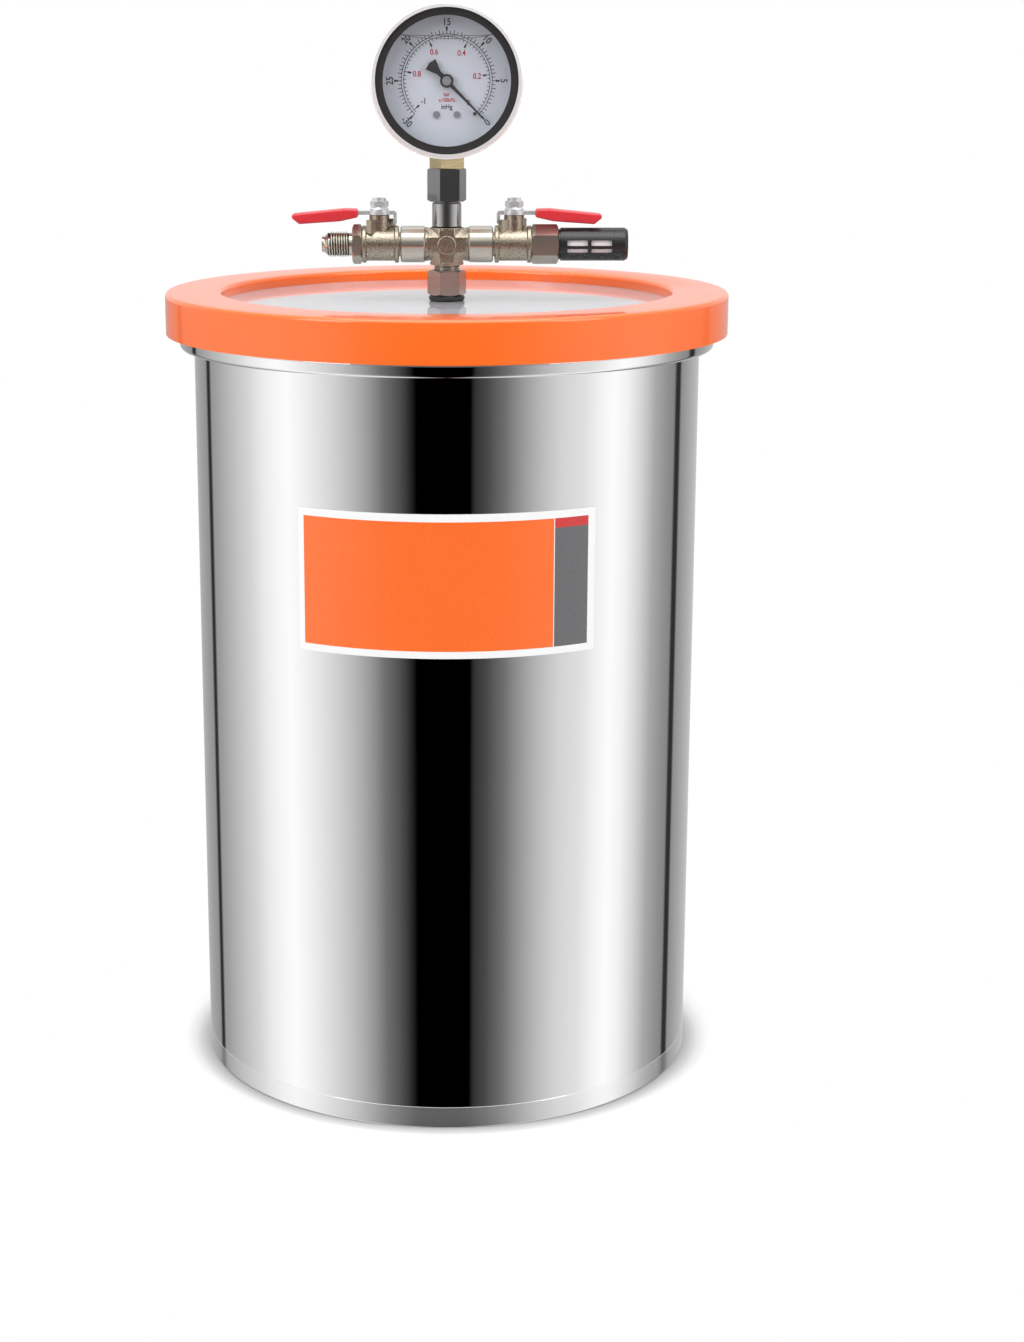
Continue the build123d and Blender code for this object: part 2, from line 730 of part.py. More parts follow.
def bourdon_tube():
    """Flattened C-shaped pressure tube with a closed tip and a lug for the link."""
    start = -90 - degrees(asin((block_x / 2 - 1) / tube_r))
    path_out = CenterArc((0, 0), tube_r + tube_radial / 2, start, -tube_sweep)
    path_in = CenterArc((0, 0), tube_r - tube_radial / 2, start - tube_sweep, tube_sweep)
    edges = [path_out, Line(path_out @ 1, path_in @ 0), path_in, Line(path_in @ 1, path_out @ 0)]
    tube = Pos(0, 0, tube_z0) * extrude(make_face(Curve() + edges), tube_z1 - tube_z0)
    tube = fillet(tube.edges().filter_by(GeomType.CIRCLE), 0.8)
    tip = radians(start - tube_sweep)
    lug_z = link_z - tip_gap
    arm = Line((tip_eye_x, tip_eye_y), (tube_r * cos(tip), tube_r * sin(tip)))
    lug = Pos(0, 0, tube_z0 + 1) * extrude(trace(arm, link_w * 2), lug_z - tube_z0 - 1)
    lug += Pos(tip_eye_x, tip_eye_y) * rod(link_w, tube_z0 + 1, lug_z)
    return tube + lug - stem_block()


def movement_frame():
    """Two plates on pillars, with bearing holes and stand-offs for the dial."""
    frame = Part()
    height = plate_top - plate_bottom
    outline = Pos(0, (plate_top + plate_bottom) / 2) * RectangleRounded(2 * plate_half_w, height, 3)
    for z0 in (plate_back_z, plate_front_z):
        frame += Pos(0, 0, z0) * extrude(outline, plate_t)
    for x, y in ((-pillar_x, pillar_y), (pillar_x, pillar_y), (0, pillar_top_y)):
        frame += Pos(x, y) * rod(pillar_r, plate_back_z + plate_t, plate_front_z)
    for side in (-1, 1):
        boss = ring(1.6, 0.9, plate_front_z + plate_t, dial_front - dial_t)
        frame += Pos(side * dial_screw_x, dial_screw_y) * boss
    frame -= rod(arbor_r + run_gap, plate_back_z, plate_front_z + plate_t)
    pivot = Pos(0, -gear_centres) * rod(sector_pin_r + run_gap, plate_back_z, plate_front_z + plate_t)
    frame -= pivot
    return frame - stem_block()


def involute(angle):
    """Polar angle that an involute gains at a pressure angle, radians."""
    return tan(angle) - angle


def tooth_points(teeth, centre):
    """Outline of one tooth about its centre angle (degrees), root to root."""
    pitch_r = gear_module * teeth / 2
    base_r = pitch_r * cos(radians(pressure_angle))
    root_r = pitch_r - 1.25 * gear_module
    tip_r = pitch_r + gear_module
    half = (pi * gear_module / 2 - gear_backlash) / 2 / pitch_r + involute(radians(pressure_angle))
    flank = [(root_r, half)] if root_r < base_r else []
    low = max(base_r, root_r)
    for step in range(4):
        r = low + (tip_r - low) * step / 3
        slope = sqrt(max((r / base_r) ** 2 - 1, 0))
        flank.append((r, half - (slope - asin(slope / hypot(1, slope)))))
    sides = [(r, -a) for r, a in flank] + [(r, a) for r, a in reversed(flank)]
    mid = radians(centre)
    return [(r * cos(mid + a), r * sin(mid + a)) for r, a in sides]


def pointer_arbor():
    """Steel arbor with the pinion cut on it."""
    pitch = 360 / pinion_teeth
    points = []
    for tooth in range(pinion_teeth):
        points += tooth_points(pinion_teeth, -90 + pitch / 2 + tooth * pitch)
    pinion = extrude(make_face(Polyline(*points, close=True)), gear_t)
    return Pos(0, 0, gear_z) * pinion + rod(arbor_r, plate_back_z, hub_top - 1.4)


def sector_gear():
    """Toothed sector on its pivot, with a tail for the link, as it stands at rest."""
    pitch = 360 / sector_teeth_full
    root_r = gear_module * sector_teeth_full / 2 - 1.25 * gear_module
    half = pitch * sector_teeth / 2
    points = []
    for tooth in range(sector_teeth):
        points += tooth_points(sector_teeth_full, 90 - half + pitch / 2 + tooth * pitch)
    inner = root_r - sector_rim
    inner_arc = CenterArc((0, 0), inner, 90 + half, -2 * half)
    edges = [Polyline(*points), Line(points[-1], inner_arc @ 0), inner_arc, Line(inner_arc @ 1, points[0])]
    tail = (tail_len * cos(radians(tail_angle)), tail_len * sin(radians(tail_angle)))
    plate = make_face(Curve() + edges) + trace(Line((0, 0), (0, inner + 0.5)), 3.2)
    plate += Circle(2.2) + trace(Line((0, 0), tail), 1.6) + Pos(*tail) * Circle(eye_r)
    gear = Pos(0, 0, gear_z) * extrude(plate, gear_t)
    gear += Pos(*tail) * rod(eye_pin_r, gear_z, link_z + link_t + 0.1)
    gear += rod(sector_pin_r, plate_back_z, plate_front_z + plate_t)
    return Pos(0, -gear_centres) * Rot(0, 0, sector_swing / 2) * gear


def tail_eye():
    """Where the link's lower eye is at rest, in the gauge's frame."""
    angle = radians(tail_angle + sector_swing / 2)
    return tail_len * cos(angle), tail_len * sin(angle) - gear_centres


def gauge_link():
    """Flat link from the sector's tail to the pressure tube's tip."""
    low = tail_eye()
    high = (tip_eye_x, tip_eye_y)
    flat = trace(Line(low, high), link_w) + Pos(*low) * Circle(eye_r) + Pos(*high) * Circle(eye_r)
    flat -= Pos(*low) * Circle(eye_pin_r + run_gap)
    flat -= Pos(*high) * Circle(eye_pin_r)
    return Pos(0, 0, link_z) * extrude(flat, link_t)


def needle_half_width(reach):
    """Half width of the pointer at a distance from its axis."""
    return 1.0 - 0.75 * reach / pointer_len


def pointer():
    """Balanced pointer with a fan-shaped tail and a round hub."""
    near = needle_half_width(0)
    blade = [(pointer_len, 0), (pointer_len - 3, needle_half_width(pointer_len - 3)), (0, near),
             (-3, 1.1), (-5.4, 1.1), (-11.2, 3.5), (-12.0, 0), (-11.2, -3.5), (-5.4, -1.1), (-3, -1.1),
             (0, -near), (pointer_len - 3, -needle_half_width(pointer_len - 3))]
    flat = Pos(0, 0, pointer_z) * extrude(make_face(Polyline(*blade, close=True)), pointer_t)
    body = flat + rod(hub_r, pointer_z - 0.5, pointer_z + pointer_t + 0.5)
    body += rod(hub_cap_r, pointer_z, hub_top)
    body -= rod(arbor_r, pointer_z - 0.5, hub_top - 1.4)
    return Rot(0, 0, pointer_rest) * body


# ---- assembly ----

seal_z, window_z, ring_z, lip_z = window_stack()
inside_r = bezel_r - bezel_wall

pieces = {
    "base_pan": base_pan(),
    "pot_wall": pot_tube(),
    "label": label(),
    "lid_gasket": lid_gasket(),
    "acrylic_lid": acrylic_lid(),
    "upper_washer": upper_washer(),
    "lower_washer": lower_washer(),
    "lock_nut": lock_nut(),
    "lid_adapter": lid_adapter(),
    "cross_fitting": cross_fitting(),
    "left_coupling": side_coupling(-1),
    "right_coupling": side_coupling(1),
    "upper_coupling": upper_coupling(),
    "gauge_adapter": gauge_adapter(),
    "flare_fitting": place_valve(flare_fitting(), -1),
    "muffler_cage": place_valve(muffler_cage(), 1),
    "muffler_filter": place_valve(muffler_filter(), 1),
    "muffler_cap": place_valve(muffler_cap(), 1),
    "gauge_socket": gauge_socket(),
    "gauge_case": on_gauge(gauge_case()),
    "gauge_bezel": on_gauge(gauge_bezel()),
    "window_seal": on_gauge(ring(inside_r, seal_inner_r, seal_z, window_z)),
    "gauge_window": on_gauge(rod(inside_r, window_z, ring_z)),
    "window_ring": on_gauge(ring(inside_r, ring_inner_r, ring_z, lip_z)),
    "gauge_dial": on_gauge(gauge_dial()),
    "dial_screws": on_gauge(Compound(children=dial_screws())),
    "stop_pin": on_gauge(stop_pin()),
    "filler_plug": on_gauge(filler_plug()),
    "bourdon_tube": on_gauge(bourdon_tube()),
    "movement_frame": on_gauge(movement_frame()),
    "sector_gear": on_gauge(sector_gear()),
    "gauge_link": on_gauge(gauge_link()),
    "pointer_arbor": on_gauge(pointer_arbor()),
    "pointer": on_gauge(pointer()),
}

for prefix, side, hex_len in (("left", -1, insert_hex_left), ("right", 1, insert_hex_right)):
    valve = {
        "valve_body": valve_body(),
        "end_insert": end_insert(hex_len),
        "ball_seats": ball_seats(),
        "stem_packing": stem_packing(),
        "valve_stem": valve_stem(),
        "valve_ball": valve_ball(),
        "lever": lever_plate(),
        "lever_grip": lever_grip(),
        "lever_nut": lever_nut(),
    }
    for name, shape in valve.items():
        pieces[f"{prefix}_{name}"] = place_valve(shape, side)

os.makedirs("parts", exist_ok=True)
for name, shape in pieces.items():
    export_step(shape, f"parts/{name}.step")
print(f"pipe axis z {axis_z:.2f}, stem x {stem_x:.2f}, gauge centre z {gauge_z:.2f}")
print(f"link eye {tail_eye()}, sector pivot z {gauge_z - gear_centres:.2f}")
print(f"flare thread from x {-(stem_x + valve_out + insert_hex_left + flare_neck):.2f}")
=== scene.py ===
"""Finish of the vacuum chamber: a mirror polished pot, an orange silicone lid ring, a clear lid
and a nickel valve manifold with a dial gauge, in a pale studio."""
from math import cos, pi, radians, sin

import bmesh
import bpy
from mathutils import Matrix, Vector


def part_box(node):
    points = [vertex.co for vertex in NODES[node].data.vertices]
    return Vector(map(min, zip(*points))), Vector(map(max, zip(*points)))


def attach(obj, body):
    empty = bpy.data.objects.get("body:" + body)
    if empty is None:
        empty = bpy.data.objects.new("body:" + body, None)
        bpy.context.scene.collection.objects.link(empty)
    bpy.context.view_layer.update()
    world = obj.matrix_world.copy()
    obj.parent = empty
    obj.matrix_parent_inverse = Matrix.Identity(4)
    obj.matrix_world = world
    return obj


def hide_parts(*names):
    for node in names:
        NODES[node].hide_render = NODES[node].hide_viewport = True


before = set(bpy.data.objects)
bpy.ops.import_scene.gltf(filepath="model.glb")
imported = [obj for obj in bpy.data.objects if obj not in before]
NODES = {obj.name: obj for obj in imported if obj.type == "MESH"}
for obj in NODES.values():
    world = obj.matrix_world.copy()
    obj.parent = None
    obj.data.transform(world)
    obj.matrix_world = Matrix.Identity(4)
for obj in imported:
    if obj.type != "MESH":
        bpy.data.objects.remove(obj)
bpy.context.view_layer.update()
MM = 0.001

# Places that the frame gives
POT_HIGH = Vector(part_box("base_pan")[1])
POT_R = POT_HIGH.x
BASE_TOP = POT_HIGH.z
LABEL_LOW = Vector(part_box("label")[0])
DIAL_LOW, DIAL_HIGH = (Vector(c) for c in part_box("gauge_dial"))
GAUGE_Z = (DIAL_LOW.z + DIAL_HIGH.z) / 2
DIAL_FRONT = DIAL_LOW.y
PIPE_LOW, PIPE_HIGH = (Vector(c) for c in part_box("left_coupling"))
PIPE_Z = (PIPE_LOW.z + PIPE_HIGH.z) / 2


# ---- meshes ----

AXIS_TURNS = {
    "Z": Matrix.Identity(4),
    "X": Matrix.Rotation(radians(90), 4, "Y"),
    "-X": Matrix.Rotation(radians(-90), 4, "Y"),
    "-Y": Matrix.Rotation(radians(90), 4, "X"),
}


def in_scene(name, data):
    """New object of the scene."""
    obj = bpy.data.objects.new(name, data)
    bpy.context.scene.collection.objects.link(obj)
    return obj


def new_piece(name, mesh, body, slot, *finishes, replaces=None):
    """A finished piece at the origin: its body, its material slot (not used) and the node that it
    replaces.
    """
    for finish in finishes:
        mesh.materials.append(FINISH[finish])
    piece = in_scene(name, mesh)
    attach(piece, body)
    if replaces:
        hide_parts(replaces)
    return piece


def mesh_from(name, verts, faces, smooth=True):
    """Mesh with merged doubles and faces that point outwards."""
    mesh = bpy.data.meshes.new(name)
    mesh.from_pydata(verts, [], faces)
    work = bmesh.new()
    work.from_mesh(mesh)
    bmesh.ops.remove_doubles(work, verts=work.verts, dist=1e-7)
    bmesh.ops.recalc_face_normals(work, faces=work.faces)
    work.to_mesh(mesh)
    work.free()
    mesh.polygons.foreach_set("use_smooth", [smooth] * len(mesh.polygons))
    return mesh


def smooth_faces(mesh):
    mesh.polygons.foreach_set("use_smooth", [True] * len(mesh.polygons))


def plain_mesh(holder, name):
    """The evaluated mesh of a helper object, which is then removed."""
    graph = bpy.context.evaluated_depsgraph_get()
    mesh = bpy.data.meshes.new_from_object(holder.evaluated_get(graph), depsgraph=graph)
    mesh.name = name
    bpy.data.objects.remove(holder)
    return mesh


def sharpen(piece, angle=30):
    """Keep a smooth shaded piece's real edges crisp."""
    split = piece.modifiers.new("edges", "EDGE_SPLIT")
    split.split_angle = radians(angle)


def smooth_cad(node):
    """Smooth shading on a node's own facets, with its real edges kept sharp."""
    obj = NODES[node]
    smooth_faces(obj.data)
    weld = obj.modifiers.new("weld", "WELD")
    weld.merge_threshold = 1e-6
    sharpen(obj)


def lathe(name, profile, steps=96, axis="Z", centre=(0, 0, 0)):
    """Mesh turned about an axis from (radius, along) points."""
    verts, faces = [], []
    for step in range(steps):
        angle = 2 * pi * step / steps
        for r, z in profile:
            verts.append((r * cos(angle), r * sin(angle), z))
    count = len(profile)
    for step in range(steps):
        other = (step + 1) % steps
        for i in range(count - 1):
            a, b = step * count + i, other * count + i
            faces.append((a, b, b + 1, a + 1))
    mesh = mesh_from(name, verts, faces)
    mesh.transform(Matrix.Translation(centre) @ AXIS_TURNS[axis])
    return mesh


# ---- shared shader groups ----

def link(tree, source, target):
    tree.links.new(source, target)


def group_tree(name, inputs, outputs):
    """Empty shader group with named sockets: inputs are (name, type, default)."""
    tree = bpy.data.node_groups.new(name, "ShaderNodeTree")
    for label, kind, default in inputs:
        socket = tree.interface.new_socket(name=label, in_out="INPUT", socket_type=kind)
        if default is not None:
            socket.default_value = default
    for label, kind in outputs:
        tree.interface.new_socket(name=label, in_out="OUTPUT", socket_type=kind)
    return tree, tree.nodes.new("NodeGroupInput"), tree.nodes.new("NodeGroupOutput")


def grain_group():
    """Fine random grain: a value between Low and High, and a height."""
    tree, source, sink = group_tree(
        "grain",
        [("Vector", "NodeSocketVector", None), ("Scale", "NodeSocketFloat", 400.0),
         ("Detail", "NodeSocketFloat", 3.0), ("Low", "NodeSocketFloat", 0.3),
         ("High", "NodeSocketFloat", 0.4)],
        [("Value", "NodeSocketFloat"), ("Height", "NodeSocketFloat")])
    noise = tree.nodes.new("ShaderNodeTexNoise")
    span = tree.nodes.new("ShaderNodeMapRange")
    link(tree, source.outputs["Vector"], noise.inputs["Vector"])
    link(tree, source.outputs["Scale"], noise.inputs["Scale"])
    link(tree, source.outputs["Detail"], noise.inputs["Detail"])
    span.inputs["From Min"].default_value = 0.3
    span.inputs["From Max"].default_value = 0.7
    link(tree, noise.outputs["Fac"], span.inputs["Value"])
    link(tree, source.outputs["Low"], span.inputs["To Min"])
    link(tree, source.outputs["High"], span.inputs["To Max"])
    link(tree, span.outputs["Result"], sink.inputs["Value"])
    link(tree, noise.outputs["Fac"], sink.inputs["Height"])
    return tree


def tint_group():
    """Slow drift between two colours, as handling and casting leave it."""
    tree, source, sink = group_tree(
        "tint",
        [("Vector", "NodeSocketVector", None), ("Scale", "NodeSocketFloat", 30.0),
         ("Light", "NodeSocketColor", (1, 1, 1, 1)),
         ("Dark", "NodeSocketColor", (0.5, 0.5, 0.5, 1))],
        [("Color", "NodeSocketColor")])
    noise = tree.nodes.new("ShaderNodeTexNoise")
    noise.inputs["Detail"].default_value = 5.0
    mix = tree.nodes.new("ShaderNodeMix")
    mix.data_type = "RGBA"
    link(tree, source.outputs["Vector"], noise.inputs["Vector"])
    link(tree, source.outputs["Scale"], noise.inputs["Scale"])
    link(tree, noise.outputs["Fac"], mix.inputs["Factor"])
    link(tree, source.outputs["Light"], mix.inputs["A"])
    link(tree, source.outputs["Dark"], mix.inputs["B"])
    link(tree, mix.outputs["Result"], sink.inputs["Color"])
    return tree


def tool_marks_group():
    """Fine parallel marks of a lathe or a brush, closest where the stretch is largest."""
    tree, source, sink = group_tree(
        "tool_marks",
        [("Vector", "NodeSocketVector", None), ("Stretch", "NodeSocketVector", (4000, 20, 20)),
         ("Low", "NodeSocketFloat", 0.2), ("High", "NodeSocketFloat", 0.3)],
        [("Value", "NodeSocketFloat"), ("Height", "NodeSocketFloat")])
    scale = tree.nodes.new("ShaderNodeVectorMath")
    scale.operation = "MULTIPLY"
    noise = tree.nodes.new("ShaderNodeTexNoise")
    noise.inputs["Scale"].default_value = 1.0
    noise.inputs["Detail"].default_value = 2.0
    span = tree.nodes.new("ShaderNodeMapRange")
    span.inputs["From Min"].default_value = 0.3
    span.inputs["From Max"].default_value = 0.7
    link(tree, source.outputs["Vector"], scale.inputs[0])
    link(tree, source.outputs["Stretch"], scale.inputs[1])
    link(tree, scale.outputs["Vector"], noise.inputs["Vector"])
    link(tree, noise.outputs["Fac"], span.inputs["Value"])
    link(tree, source.outputs["Low"], span.inputs["To Min"])
    link(tree, source.outputs["High"], span.inputs["To Max"])
    link(tree, span.outputs["Result"], sink.inputs["Value"])
    link(tree, noise.outputs["Fac"], sink.inputs["Height"])
    return tree


GRAIN = grain_group()
TINT = tint_group()
TOOL_MARKS = tool_marks_group()


# ---- materials ----

def surface(name, colour, roughness=0.4, metallic=0.0, **sockets):
    """Material with one Principled shader and its Object coordinates, for the others to build on."""
    material = bpy.data.materials.new(name)
    material.use_nodes = True
    tree = material.node_tree
    shader = tree.nodes["Principled BSDF"]
    shader.inputs["Base Color"].default_value = (*colour, 1)
    shader.inputs["Roughness"].default_value = roughness
    shader.inputs["Metallic"].default_value = metallic
    for label, value in sockets.items():
        shader.inputs[label.replace("_", " ")].default_value = value
    place = tree.nodes.new("ShaderNodeTexCoord")
    return material, tree, shader, place.outputs["Object"]


def use_group(tree, group, place, **values):
    """One of the shared groups, placed in a material with its own values."""
    node = tree.nodes.new("ShaderNodeGroup")
    node.node_tree = group
    link(tree, place, node.inputs["Vector"])
    for label, value in values.items():
        node.inputs[label].default_value = value
    return node


def raise_surface(tree, shader, height, distance, strength=0.5):
    """Bump from a height."""
    bump = tree.nodes.new("ShaderNodeBump")
    bump.inputs["Distance"].default_value = distance
    bump.inputs["Strength"].default_value = strength
    link(tree, height, bump.inputs["Height"])
    link(tree, bump.outputs["Normal"], shader.inputs["Normal"])


def mirror_steel():
    """Polished stainless sheet with faint polishing marks."""
    material, tree, shader, place = surface("mirror_steel", (0.93, 0.93, 0.93), 0.04, 1.0)
    marks = use_group(tree, TOOL_MARKS, place, Stretch=(14, 14, 900), Low=0.02, High=0.05)
    link(tree, marks.outputs["Value"], shader.inputs["Roughness"])
    return material


def satin_steel():
    """Satin base pan: brushed round, so that it shows paler than the wall."""
    material, tree, shader, place = surface("satin_steel", (0.90, 0.90, 0.90), 0.14, 0.88)
    marks = use_group(tree, TOOL_MARKS, place, Stretch=(20, 20, 5000), Low=0.10, High=0.18)
    link(tree, marks.outputs["Value"], shader.inputs["Roughness"])
    raise_surface(tree, shader, marks.outputs["Height"], 0.00002, 0.3)
    return material


def bright_steel(name, colour, metallic, low, high):
    """Polished stainless of the gauge's case, or its paler spun bezel."""
    material, tree, shader, place = surface(name, colour, low, metallic)
    marks = use_group(tree, GRAIN, place, Scale=120.0, Low=low, High=high)
    link(tree, marks.outputs["Value"], shader.inputs["Roughness"])
    return material


def metal(name, light, dark, low, high, stretch=None, marks=0.00003, cast=0.0, metallic=1.0):
    """Metal with drifting tint and tool marks, or a cast skin."""
    material, tree, shader, place = surface(name, light, low, metallic)
    drift = 90.0 if stretch else 1100.0
    tint = use_group(tree, TINT, place, Scale=drift, Light=(*light, 1), Dark=(*dark, 1))
    link(tree, tint.outputs["Color"], shader.inputs["Base Color"])
    if stretch:
        skin = use_group(tree, TOOL_MARKS, place, Stretch=stretch, Low=low, High=high)
        raise_surface(tree, shader, skin.outputs["Height"], marks, 0.5)
    else:
        skin = use_group(tree, GRAIN, place, Scale=1400.0, Detail=4.0, Low=low, High=high)
        raise_surface(tree, shader, skin.outputs["Height"], cast, 0.8)
    link(tree, skin.outputs["Value"], shader.inputs["Roughness"])
    return material


def soft_solid(name, light, dark, low, high, scale, bump, **sockets):
    """Plastic, rubber or silicone with a fine skin and a slight drift of colour."""
    material, tree, shader, place = surface(name, light, low, 0.0, **sockets)
    tint = use_group(tree, TINT, place, Scale=25.0, Light=(*light, 1), Dark=(*dark, 1))
    link(tree, tint.outputs["Color"], shader.inputs["Base Color"])
    skin = use_group(tree, GRAIN, place, Scale=scale, Low=low, High=high)
    link(tree, skin.outputs["Value"], shader.inputs["Roughness"])
    raise_surface(tree, shader, skin.outputs["Height"], bump, 0.4)
    return material


def silicone():
    """Cast orange silicone: saturated, satin and a little translucent."""
    material = soft_solid("orange_silicone", (1.0, 0.150, 0.003), (0.98, 0.130, 0.002), 0.30, 0.38,
                          900.0, 0.00002, Subsurface_Weight=0.2, Coat_Weight=0.8, Coat_Roughness=0.05)
    shader = material.node_tree.nodes["Principled BSDF"]
    shader.inputs["Subsurface Radius"].default_value = (1.0, 0.35, 0.08)
    shader.inputs["Subsurface Scale"].default_value = 0.004
    return material


def clear_acrylic():
    """Cast acrylic sheet with faint wiping marks."""
    material, tree, shader, place = surface("clear_acrylic", (0.90, 0.90, 0.94), 0.03, 0.0,
                                            Transmission_Weight=0.6, IOR=1.49)
    skin = use_group(tree, GRAIN, place, Scale=22.0, Low=0.03, High=0.08)
    link(tree, skin.outputs["Value"], shader.inputs["Roughness"])
    return material


def window_glass():
    """Flat clear gauge window that lets the light through to the dial."""
    material, tree, shader, place = surface("window_glass", (1.0, 1.0, 1.0), 0.0, 0.0,
                                            Transmission_Weight=1.0, IOR=1.3)
    smear = use_group(tree, GRAIN, place, Scale=60.0, Low=0.0, High=0.015)
    link(tree, smear.outputs["Value"], shader.inputs["Roughness"])
    clear = tree.nodes.new("ShaderNodeBsdfTransparent")
    path = tree.nodes.new("ShaderNodeLightPath")
    mix = tree.nodes.new("ShaderNodeMixShader")
    link(tree, path.outputs["Is Shadow Ray"], mix.inputs["Fac"])
    link(tree, shader.outputs["BSDF"], mix.inputs[1])
    link(tree, clear.outputs["BSDF"], mix.inputs[2])
    link(tree, mix.outputs["Shader"], tree.nodes["Material Output"].inputs["Surface"])
    return material


def ink(name, colour):
    """Printed ink, slightly uneven."""
    material, tree, shader, place = surface(name, colour, 0.5)
    skin = use_group(tree, GRAIN, place, Scale=2500.0, Low=0.42, High=0.6)
    link(tree, skin.outputs["Value"], shader.inputs["Roughness"])
    return material


def print_gloss(name, light, dark):
    """Gloss print of the label."""
    return soft_solid(name, light, dark, 0.22, 0.30, 1500.0, 0.00001, Coat_Weight=0.4,
                      Coat_Roughness=0.08)


def make_materials():
    """Every finish of the object, by name."""
    return {
        "mirror": mirror_steel(),
        "satin": satin_steel(),
        "bright": bright_steel("bright_steel", (0.92, 0.92, 0.93), 1.0, 0.04, 0.10),
        "bezel": bright_steel("bezel_steel", (0.97, 0.97, 0.97), 0.45, 0.16, 0.24),
        "cast_nickel": metal("cast_nickel", (0.50, 0.445, 0.355), (0.30, 0.26, 0.20), 0.22, 0.40,
                             cast=0.0002),
        "turned_nickel": metal("turned_nickel", (0.60, 0.57, 0.49), (0.52, 0.49, 0.42), 0.20, 0.23,
                               stretch=(6000, 60, 60), marks=0.0000002, metallic=0.9),
        "hex_nickel": metal("hex_nickel", (0.44, 0.42, 0.385), (0.37, 0.35, 0.32), 0.16, 0.26,
                            stretch=(60, 60, 1500), marks=0.0000003, metallic=0.85),
        "coupling_nickel": metal("coupling_nickel", (0.56, 0.56, 0.55), (0.48, 0.48, 0.47), 0.12, 0.20,
                                 stretch=(60, 60, 5000), marks=0.000006),
        "dark_nickel": metal("dark_nickel", (0.34, 0.34, 0.355), (0.24, 0.24, 0.25), 0.14, 0.22,
                             stretch=(60, 60, 3000), marks=0.000006),
        "brass": metal("machined_brass", (0.62, 0.52, 0.30), (0.50, 0.40, 0.21), 0.20, 0.32,
                       stretch=(60, 60, 3000), marks=0.000008),
        "bronze": metal("bronze", (0.62, 0.38, 0.20), (0.48, 0.28, 0.14), 0.22, 0.34,
                        stretch=(90, 90, 2000)),
        "zinc": metal("bright_zinc", (0.80, 0.82, 0.83), (0.62, 0.64, 0.66), 0.18, 0.30,
                      stretch=(200, 1500, 200), marks=0.00001, metallic=0.6),
        # Painted shade: a nearly black colour for the flare's core between the thread ridges, standing
        # in for the shade in the thread's roots
        "thread_root_painted_shade": metal("thread_root_painted_shade", (0.06, 0.05, 0.045), (0.03, 0.026, 0.022), 0.40, 0.55,
                             stretch=(3000, 60, 60)),
        "cap_steel": metal("cap_steel", (0.30, 0.30, 0.33), (0.22, 0.22, 0.25), 0.25, 0.35,
                           stretch=(60, 60, 60), marks=0.000004, metallic=0.7),
        "chrome_ball": metal("chrome_ball", (0.80, 0.80, 0.81), (0.75, 0.75, 0.76), 0.05, 0.09,
                             stretch=(400, 400, 400), marks=0.000002),
        "silicone": silicone(),
        "acrylic": clear_acrylic(),
        "glass": window_glass(),
        "rubber": soft_solid("black_rubber", (0.012, 0.012, 0.012), (0.022, 0.022, 0.022), 0.42, 0.58,
                             1600.0, 0.00005),
        "black_plastic": soft_solid("black_plastic", (0.010, 0.010, 0.011), (0.016, 0.016, 0.017), 0.24,
                                    0.36, 1200.0, 0.00003),
        "vinyl": soft_solid("red_vinyl", (0.66, 0.030, 0.042), (0.56, 0.022, 0.032), 0.26, 0.38, 700.0,
                            0.00006, Coat_Weight=0.3, Coat_Roughness=0.15),
        "felt": soft_solid("white_felt", (0.95, 0.95, 0.94), (0.85, 0.85, 0.85), 0.8, 0.95, 2600.0,
                           0.0003),
        "seat": soft_solid("white_plastic", (0.86, 0.86, 0.84), (0.80, 0.80, 0.78), 0.35, 0.45, 600.0,
                           0.00002),
        "dial": soft_solid("dial_white", (0.47, 0.50, 0.56), (0.43, 0.46, 0.52), 0.34, 0.44, 600.0,
                           0.00001),
        "pointer": ink("pointer_black", (0.008, 0.008, 0.008)),
        "ink": ink("black_ink", (0.015, 0.015, 0.017)),
        "red_ink": ink("red_ink", (0.36, 0.02, 0.045)),
        "grey_line": ink("grey_line", (0.16, 0.15, 0.17)),
        "label_white": print_gloss("label_white", (0.88, 0.88, 0.88), (0.84, 0.84, 0.84)),
        "label_orange": print_gloss("label_orange", (0.94, 0.155, 0.018), (0.90, 0.14, 0.014)),
        "label_grey": print_gloss("label_grey", (0.13, 0.13, 0.135), (0.11, 0.11, 0.115)),
        "label_red": print_gloss("label_red", (0.62, 0.03, 0.03), (0.56, 0.025, 0.025)),
    }


FINISH = make_materials()

FINISH_NODES = {
    "satin": "base_pan",
    "mirror": "pot_wall",
    "silicone": "lid_gasket",
    "acrylic": "acrylic_lid",
    "rubber": "upper_washer lower_washer window_seal window_ring filler_plug",
    "hex_nickel": "lock_nut lid_adapter",
    "cast_nickel": "cross_fitting",
    "turned_nickel": "left_coupling right_coupling",
    "coupling_nickel": "upper_coupling",
    "dark_nickel": "gauge_adapter",
    "black_plastic": "muffler_cage muffler_cap",
    "felt": "muffler_filter",
    "brass": "gauge_socket movement_frame sector_gear gauge_link",
    "bright": "gauge_case",
    "bezel": "gauge_bezel",
    "glass": "gauge_window",
    "dial": "gauge_dial",
    "cap_steel": "dial_screws",
    "ink": "stop_pin",
    "bronze": "bourdon_tube",
    "zinc": "pointer_arbor",
    "pointer": "pointer",
}
FINISH_VALVES = {
    "cast_nickel": "valve_body",
    "turned_nickel": "end_insert",
    "seat": "ball_seats stem_packing",
    "brass": "valve_stem",
    "chrome_ball": "valve_ball",
    "zinc": "lever lever_nut",
    "vinyl": "lever_grip",
}


